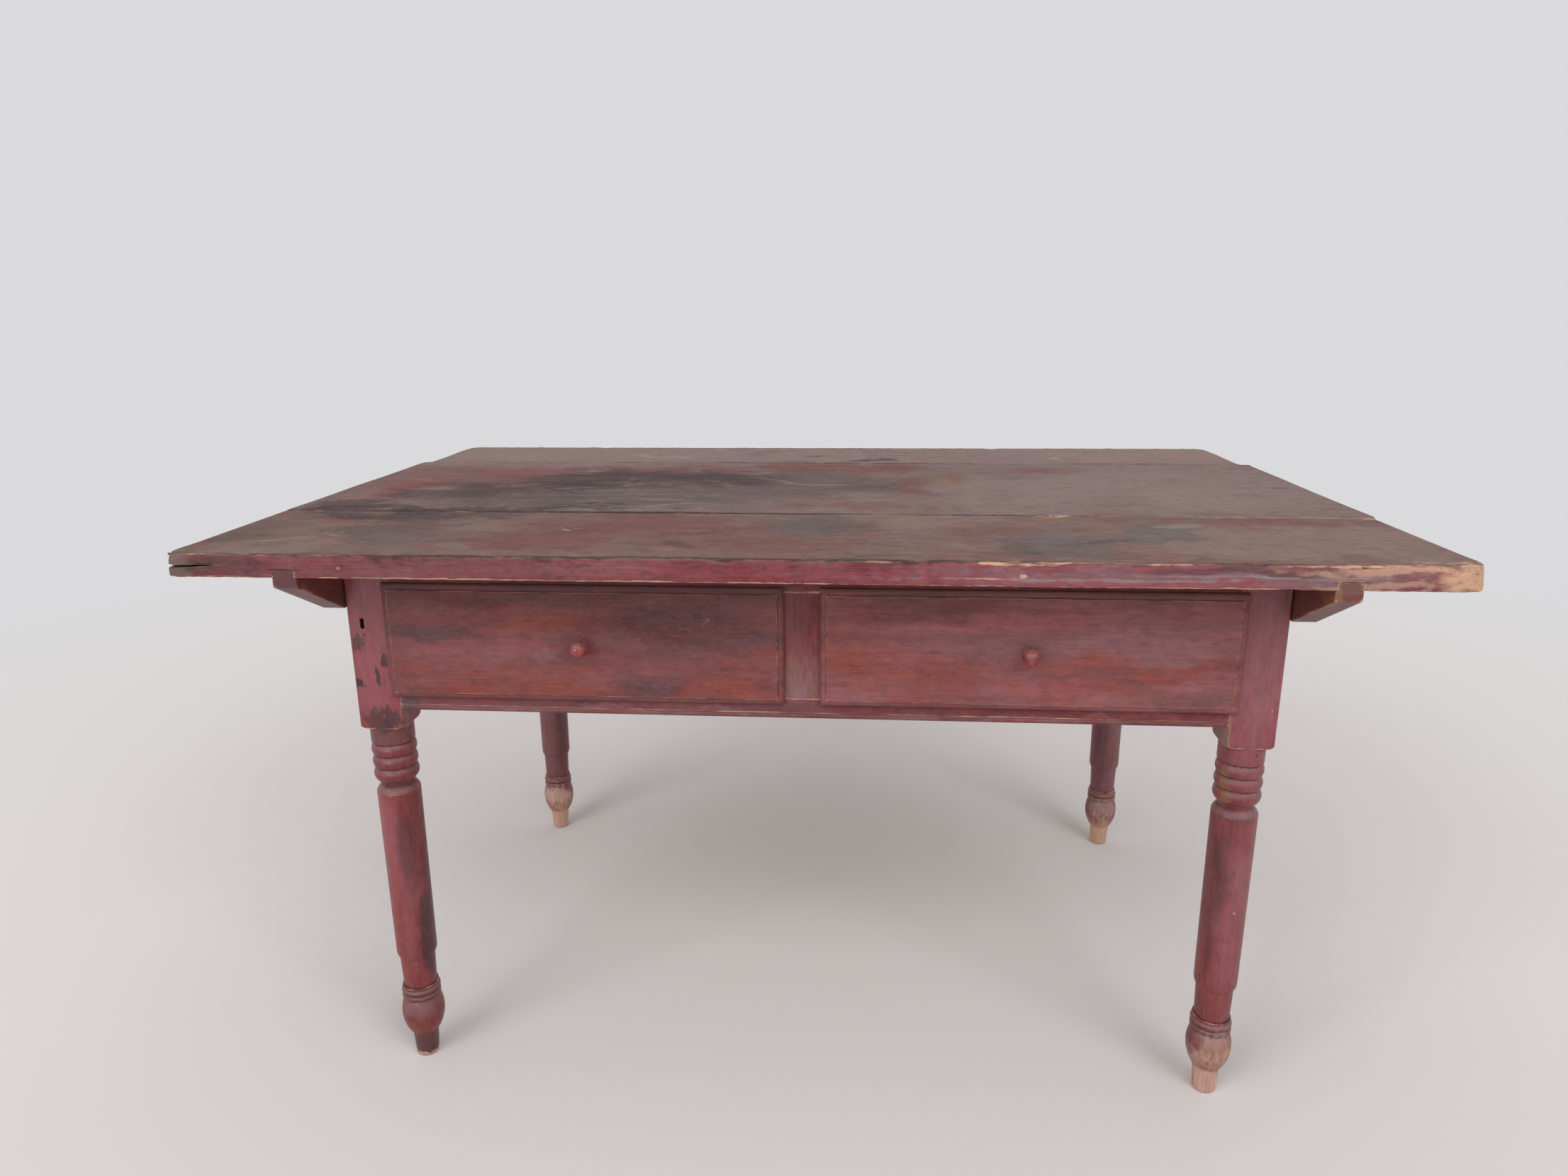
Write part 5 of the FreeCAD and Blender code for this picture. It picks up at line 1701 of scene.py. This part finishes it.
@dataclass(frozen=True)
class Legs:
    """The four turned legs; each has worn and faded in its own way."""

    across: float = 520.0
    deep: float = 325.0
    crevice_reach: float = 7.0

    streaks = (
        Layer(Tone.BRICK, 11.0, 0.45, 9.0, 0.16, 0.7, seed=61.0),
        Layer(Tone.OXBLOOD, 9.0, 0.35, 10.0, 0.14, 0.6, seed=62.0),
        Layer(Tone.ORANGE_RED, 7.0, 0.22, 9.0, 0.12, 0.5, seed=63.0),
    )
    specks = (
        Fleck(Tone.PALE_DUST, 34.0, 1.0, 0.35, 2.0, seed=64.0),
        Fleck(Tone.GRIME_AND_SHADE, 22.0, 1.1, 0.35, 3.0, seed=65.0),
        Fleck(Tone.OCHRE, 40.0, 1.5, 0.2, 1.6, seed=66.0),
    )

    def post_mark(
        self, leg: tuple[float, float], tone: Tone | None, place: tuple[float, float, float],
        half: tuple[float, float, float], strength: float, edge: float = 0.4, broken: float = 0.4,
    ) -> Patch:
        """Place a mark on a leg, from the leg's own centre line.

        Args:
            leg: the leg's x and y.
            tone: the mark's tone, or None for a bare place.
            place: its middle, measured from the centre line and the floor.
            half: half its size on each axis.
            strength: how strongly it covers.
            edge: how softly it ends.
            broken: how far it breaks up.

        Returns:
            The patch.
        """
        at = (leg[0] + place[0], leg[1] + place[1], place[2])
        return Patch(tone, at, half, strength, edge, wander=0.3, broken=broken)

    def worn_foot(self, leg: tuple[float, float], height: float) -> tuple[Patch, ...]:
        """Describe the bare wood of a foot.

        Args:
            leg: the leg's x and y.
            height: how far up it is bare, in millimetres.

        Returns:
            The bare peg foot and the flaking wear above it.
        """
        return (
            Patch(None, (*leg, 0.0), (60.0, 60.0, 40.0), 0.85, 0.2, wander=0.15, broken=0.25),
            Patch(None, (*leg, height), (60.0, 60.0, 22.0), 0.5, 0.5, wander=0.3, broken=1.3),
            Patch(None, (*leg, height + 14.0), (60.0, 60.0, 14.0), 0.35, 0.5, wander=0.4, broken=1.6),
        )

    def left_front(self) -> OldRedPaint:
        """Describe the left front leg: orange-red on its left, dark on its right.

        Returns:
            The finish.
        """
        leg = (-self.across, -self.deep)
        return OldRedPaint(
            "old_red_paint_leg_front_left", Grain.ALONG_Z, Tone.LEG_RED, self.streaks,
            (
                self.post_mark(leg, Tone.ORANGE_RED, (-15, -22, 330), (9, 18, 60), 0.6),
                self.post_mark(leg, Tone.ORANGE_RED, (-12, -22, 220), (8, 18, 60), 0.55),
                self.post_mark(leg, Tone.FADED_RASPBERRY, (4, -26, 250), (9, 14, 110), 0.5, 0.5, 0.3),
                self.post_mark(leg, Tone.FADED_RASPBERRY, (-10, -24, 330), (14, 14, 80), 0.75, 0.5, 0.3),
                self.post_mark(leg, Tone.PLUM, (0, -20, 440), (30, 30, 30), 0.3, 0.5, 0.6),
                self.post_mark(leg, Tone.ORANGE_RED, (-6, -20, 150), (9, 18, 26), 0.6),
                self.post_mark(leg, Tone.PLUM, (6, -24, 320), (9, 12, 60), 0.6),
                self.post_mark(leg, Tone.GRIME_AND_SHADE, (25, -8, 270), (10, 26, 130), 0.5, 0.5, 0.6),
                self.post_mark(leg, Tone.PLUM, (24, -8, 180), (9, 24, 90), 0.7),
                self.post_mark(leg, Tone.SMOKE, (0, -20, 405), (30, 30, 8), 0.5),
                self.post_mark(leg, Tone.SMOKE, (0, -10, 100), (34, 34, 12), 0.55),
                self.post_mark(leg, Tone.DUSTY_PINK, (0, -24, 80), (16, 16, 12), 0.55, 0.5, 0.8),
                self.post_mark(leg, Tone.LEG_RED, (0, -30, 590), (40, 40, 130), 0.8, 0.5),
                self.post_mark(leg, Tone.FADED_RASPBERRY, (-4, -30, 600), (28, 40, 120), 0.85, 0.5),
                self.post_mark(leg, Tone.CHARCOAL, (-21, -30, 541), (6, 14, 7), 0.9, 0.08, 0.9),
                self.post_mark(leg, Tone.CHARCOAL, (13, -30, 566), (4, 14, 12), 0.85, 0.1, 0.9),
                self.post_mark(leg, Tone.CHARCOAL, (6, -30, 546), (3, 14, 8), 0.8, 0.1, 0.9),
                self.post_mark(leg, Tone.CHARCOAL, (0, -30, 500), (22, 16, 14), 0.75, 0.3, 0.9),
                self.post_mark(leg, Tone.RUST, (14, -30, 490), (10, 16, 7), 0.8, 0.2, 0.6),
                self.post_mark(leg, Tone.CHARCOAL, (-10, -30, 598), (7, 8, 12), 0.6, 0.15, 1.0),
                self.post_mark(leg, Tone.SMOKE, (0, -20, 476), (30, 30, 14), 0.6, 0.3, 0.8),
                self.post_mark(leg, Tone.RUST, (4, -24, 58), (14, 14, 12), 0.75, 0.3, 1.0),
                self.post_mark(leg, Tone.UMBER_STAIN, (4, 0, 10), (34, 34, 34), 0.75),
            ),
            self.specks,
            bare=(self.post_mark(leg, None, (0, 0, 0), (40, 40, 5), 0.7, 0.3, 1.0),),
            arris_wear=0.20, crevice_reach=self.crevice_reach, mottle=0.14, dust=0.12, roughness=0.32,
        )

    def right_front(self) -> OldRedPaint:
        """Describe the right front leg: dark at its left with painted shade, lighter at its right with faded
        paint and a painted sheen, scratched, with a bare foot.

        Returns:
            The finish.
        """
        leg = (self.across, -self.deep)
        return OldRedPaint(
            "old_red_paint_leg_front_right", Grain.ALONG_Z, Tone.RASPBERRY, self.streaks,
            (
                self.post_mark(leg, Tone.FADED_RASPBERRY, (6, -30, 590), (40, 40, 130), 0.95, 0.6, 0.3),
                self.post_mark(leg, Tone.DUSTY_PINK, (4, -30, 610), (26, 40, 100), 0.3, 0.6, 0.5),
                # Dark down the left of the shaft, away from the right window: painted shade.
                self.post_mark(leg, Tone.PLUM, (-10, -20, 330), (11, 18, 46), 0.65),
                self.post_mark(leg, Tone.GRIME_AND_SHADE, (-18, -12, 290), (8, 22, 70), 0.3, 0.5, 0.6),
                # Lighter down the right of the shaft: faded paint and a painted sheen of the right window.
                self.post_mark(leg, Tone.FADED_RASPBERRY, (6, -24, 250), (19, 20, 160), 0.85, 0.5, 0.3),
                self.post_mark(leg, Tone.DUSTY_PINK, (8, -26, 290), (9, 14, 90), 0.2, 0.5, 0.5),
                self.post_mark(leg, Tone.BRICK, (10, -22, 370), (12, 16, 24), 0.6),
                self.post_mark(leg, Tone.BRICK, (16, -12, 250), (10, 20, 90), 0.5),
                self.post_mark(leg, Tone.SMOKE, (0, -20, 399), (30, 30, 6), 0.45),
                self.post_mark(leg, Tone.OCHRE, (-25, -14, 430), (5, 12, 34), 0.65, 0.3, 0.6),
                self.post_mark(leg, Tone.OCHRE, (-27, -24, 510), (4, 14, 40), 0.6, 0.3, 0.8),
                self.post_mark(leg, Tone.BRICK, (0, -30, 140), (26, 26, 26), 0.6, 0.3, 0.8),
                self.post_mark(leg, Tone.SMOKE, (0, -10, 98), (34, 34, 10), 0.5),
                self.post_mark(leg, Tone.RUST, (0, -10, 56), (34, 34, 16), 0.65, 0.4, 0.7),
                self.post_mark(leg, Tone.PINK_PINE, (0, -24, 82), (22, 20, 20), 0.5, 0.5, 0.8),
                self.post_mark(leg, Tone.OCHRE, (0, -24, 70), (24, 20, 16), 0.35, 0.5, 0.9),
            ),
            self.specks + (
                Fleck(Tone.PALE_DUST, 11.0, 0.8, 0.32, 3.0, seed=67.0),
                Fleck(Tone.OLIVE, 14.0, 2.0, 0.4, 1.5, seed=68.0),
                Fleck(Tone.OCHRE, 19.0, 1.6, 0.35, 1.3, seed=69.0),
            ),
            bare=self.worn_foot(leg, 50.0) + (
                self.post_mark(leg, None, (2, -27, 272), (2.4, 4, 2), 0.6, 0.2, 1.2),
                self.post_mark(leg, None, (12, -22, 416), (3, 6, 1.6), 0.9, 0.2, 0.6),
            ),
            arris_wear=0.24, crevice_reach=self.crevice_reach, mottle=0.16, dust=0.15, roughness=0.34,
        )

    def rear(self, hand: Hand) -> OldRedPaint:
        """Describe a rear leg, bare from the ball down.

        Args:
            hand: which of the two it is.

        Returns:
            The finish.
        """
        leg = (hand.value * self.across, self.deep)
        if hand is Hand.RIGHT:
            bare = self.worn_foot(leg, 34.0)
            ball = (
                self.post_mark(leg, Tone.OCHRE, (0, -24, 98), (26, 14, 6), 0.9, 0.2, 1.2),
                self.post_mark(leg, Tone.OCHRE, (4, -26, 58), (9, 10, 4), 0.9, 0.2, 0.7),
                self.post_mark(leg, Tone.RUST, (0, 0, 20), (34, 34, 24), 0.55, 0.4, 0.8),
                self.post_mark(leg, Tone.PINK_PINE, (0, -24, 76), (34, 20, 16), 0.4, 0.4, 0.8),
            )
        else:
            bare = self.worn_foot(leg, 62.0)
            ball = (
                self.post_mark(leg, Tone.PINK_PINE, (0, -24, 72), (34, 20, 26), 0.75, 0.3, 0.9),
                self.post_mark(leg, Tone.RUST, (0, -24, 50), (34, 20, 12), 0.5, 0.3, 0.9),
            )
        return OldRedPaint(
            f"old_red_paint_leg_rear_{hand.name.lower()}", Grain.ALONG_Z, Tone.RASPBERRY, self.streaks,
            (
                # A paler tone down the front of the shaft: painted light, for a leg that stands in the
                # table's shade.
                self.post_mark(leg, Tone.DUSTY_PINK, (0, -20, 280), (30, 20, 240), 0.5, 0.5, 0.3),
                self.post_mark(leg, Tone.PLUM, (-hand.value * 14, -16, 300), (12, 22, 170), 0.4),
            ) + ball,
            self.specks, bare=bare,
            late_marks=(self.post_mark(leg, Tone.WORN_PINE, (0, -10, 12), (30, 30, 38), 0.5, 0.3, 0.5),),
            arris_wear=0.24, crevice_reach=self.crevice_reach, mottle=0.16, dust=0.15, roughness=0.34,
        )

    def build(self) -> None:
        """Dress the four legs."""
        dress("leg_front_left", self.left_front().build())
        dress("leg_front_right", self.right_front().build())
        for hand in Hand:
            dress(f"leg_rear_{hand.name.lower()}", self.rear(hand).build())


@dataclass(frozen=True)
class Battens:
    """The two battens under the ends of the top, and the pins that hold them."""

    across: float = 562.5

    def build(self) -> None:
        """Dress the battens and their pins."""
        paint = OldRedPaint(
            "old_red_paint_battens", Grain.ALONG_Y, Tone.FADED_RED,
            (
                Layer(Tone.BRICK, 20.0, 0.35, 5.0, 0.16, 0.6, seed=71.0),
                Layer(Tone.UMBER_STAIN, 30.0, 0.4, 4.0, 0.16, 0.5, seed=72.0),
                Layer(Tone.RUST, 26.0, 0.5, 4.0, 0.2, 0.45, seed=74.0),
            ),
            flecks=(Fleck(Tone.OCHRE, 30.0, 1.4, 0.3, 3.0, seed=73.0),),
            late_marks=(
                Patch(Tone.OXBLOOD, (-self.across, -449.0, 704.0), (20.0, 9.0, 18.0), 0.85, 0.4, wander=0.1),
                Patch(Tone.WORN_BROWN, (self.across, -449.0, 707.0), (17.0, 7.0, 8.0), 0.6, 0.3, wander=0.1),
                Patch(
                    Tone.OCHRE, (self.across - 13.0, -440.0, 692.0), (4.0, 30.0, 20.0),
                    0.5, 0.4, wander=0.2,
                ),
                Patch(
                    Tone.OCHRE, (-self.across - 13.0, -410.0, 680.0), (4.0, 50.0, 24.0),
                    0.5, 0.4, wander=0.2, broken=1.0,
                ),
            ),
            arris_wear=0.26, arris_reach=4.0, dust=0.15,
        ).build()
        dress("batten_left", paint)
        dress("batten_right", paint)
        dress("batten_pins", BareAgedPine("bare_aged_pine_pins", Grain.ALONG_X).build())


@dataclass(frozen=True)
class Drawer:
    """One drawer: a streaked red front and knob on a box of bare pine."""

    hand: Hand

    front_side = (Side("Y", FRONT_FACE + 0.5, -1),)
    streaks = (
        Layer(Tone.OXBLOOD, 17.0, 0.42, 9.0, 0.2, 0.55, seed=81.0),
        Layer(Tone.ORANGE_RED, 13.0, 0.34, 9.0, 0.16, 0.5, seed=82.0),
        Layer(Tone.PLUM, 30.0, 0.28, 5.0, 0.16, 0.5, seed=83.0),
    )
    specks = (
        Fleck(Tone.PALE_DUST, 60.0, 0.8, 0.25, 1.3, seed=84.0),
        Fleck(Tone.GRIME_AND_SHADE, 36.0, 0.9, 0.3, 2.5, seed=85.0),
        Fleck(Tone.OCHRE, 55.0, 0.6, 0.2, 8.0, seed=86.0),
    )

    @property
    def name(self) -> str:
        """The drawer's name, as its nodes begin."""
        return f"{self.hand.name.lower()}_drawer"

    @property
    def ground(self) -> Tone:
        """The main tone of this drawer's front."""
        return Tone.FADED_DRAWER_RED if self.hand is Hand.RIGHT else Tone.DRAWER_RED

    def marks(self) -> tuple[Patch, ...]:
        """Describe the marks on this drawer's front, with a band of painted shade along its top.

        Returns:
            The marks.
        """
        if self.hand is Hand.RIGHT:
            return (
                mark(Tone.FADED_DRAWER_RED, (330, 622), (170, 34), 0.5, edge=0.6),
                mark(Tone.DUSTY_PINK, (400, 618), (100, 32), 0.35, edge=0.6),
                mark(Tone.ORANGE_RED, (123, 570), (90, 26), 0.5),
                mark(Tone.ORANGE_RED, (397, 584), (100, 12), 0.55),
                mark(Tone.ORANGE_RED, (350, 550), (110, 10), 0.4),
                # A dark band along the top of the front: painted shade under the top's overhang, and soot.
                mark(Tone.PLUM, (142, 654), (110, 9), 0.3),
                mark(Tone.ORANGE_RED, (60, 612), (40, 40), 0.35),
                mark(Tone.SMOKE, (435, 545), (54, 10), 0.45),
                mark(Tone.DUSTY_PINK, (250, 610), (90, 16), 0.35),
                mark(Tone.OCHRE, (82, 565), (0.9, 6), 0.6, wander=0.05),
            )
        return (
            mark(Tone.FADED_DRAWER_RED, (-400, 602), (100, 26), 0.45, edge=0.6),
            # A dark band along the top of the front: painted shade under the top's overhang, and soot.
            mark(Tone.OXBLOOD, (-270, 666), (250, 9), 0.5, edge=0.6),
            mark(Tone.ORANGE_RED, (-410, 557), (90, 22), 0.5),
            mark(Tone.ORANGE_RED, (-280, 549), (64, 12), 0.7),
            mark(Tone.ORANGE_RED, (-92, 549), (68, 14), 0.75),
            mark(Tone.ORANGE_RED, (-305, 628), (66, 10), 0.4),
            mark(Tone.PLUM, (-440, 616), (62, 13), 0.65),
            mark(Tone.PLUM, (-130, 624), (106, 26), 0.55),
            mark(Tone.PLUM, (-180, 560), (40, 18), 0.45),
            mark(Tone.DUSTY_PINK, (-308, 588), (12, 12), 0.4),
            mark(Tone.RUST, (-309, 588), (2.0, 10), 0.7, -8, 0.08),
            mark(Tone.PALE_DUST, (-138, 626), (9, 0.8), 0.22, 16, 0.2, broken=1.2),
            mark(Tone.PALE_DUST, (-112, 632), (0.8, 8), 0.22, 36, 0.25, broken=1.2),
        )

    def build(self) -> None:
        """Dress the drawer's front, knob and box."""
        front = OldRedPaint(
            f"streaked_red_paint_{self.name}", Grain.ALONG_X, self.ground, self.streaks,
            self.marks(), self.specks, self.front_side, arris_reach=2.0, arris_wear=0.16,
        ).build()
        dress(f"{self.name}_front", front)
        knob = OldRedPaint(
            f"glossy_red_paint_{self.name}_knob", Grain.ALONG_Y, Tone.KNOB_RED,
            (Layer(Tone.OXBLOOD, 9.0, 0.5, 1.5, 0.16, 0.7, seed=87.0),),
            mottle=0.1, dust=0.0, roughness=0.45, coat=0.4, arris_wear=0.0,
        ).build()
        dress(f"{self.name}_knob", knob)
        for name, grain, parts in (
            ("sides", Grain.ALONG_Y, ("inner_side", "outer_side")),
            ("back", Grain.ALONG_X, ("back", "bottom")),
        ):
            pine = BareAgedPine(f"bare_aged_pine_{self.name}_{name}", grain).build()
            for part in parts:
                dress(f"{self.name}_{part}", pine)


@dataclass(frozen=True)
class DrawerWays:
    """The bare runners, guides and kickers that the drawers slide on."""

    def build(self) -> None:
        """Dress the runners, guides and kickers."""
        pine = BareAgedPine("bare_aged_pine_ways", Grain.ALONG_Y).build()
        for kind in ("runner", "guide", "kicker"):
            for place in ("left", "centre", "right"):
                dress(f"{kind}_{place}", pine)


def main() -> None:
    """Dress every piece and build the studio."""
    logging.basicConfig(level=logging.INFO, format="%(message)s")
    drawers = [Drawer(hand) for hand in Hand]
    for assembly in (Studio(), TableTop(), Battens(), Legs(), Underframe(), DrawerWays(), *drawers):
        assembly.build()


if __name__ == "__main__":
    main()
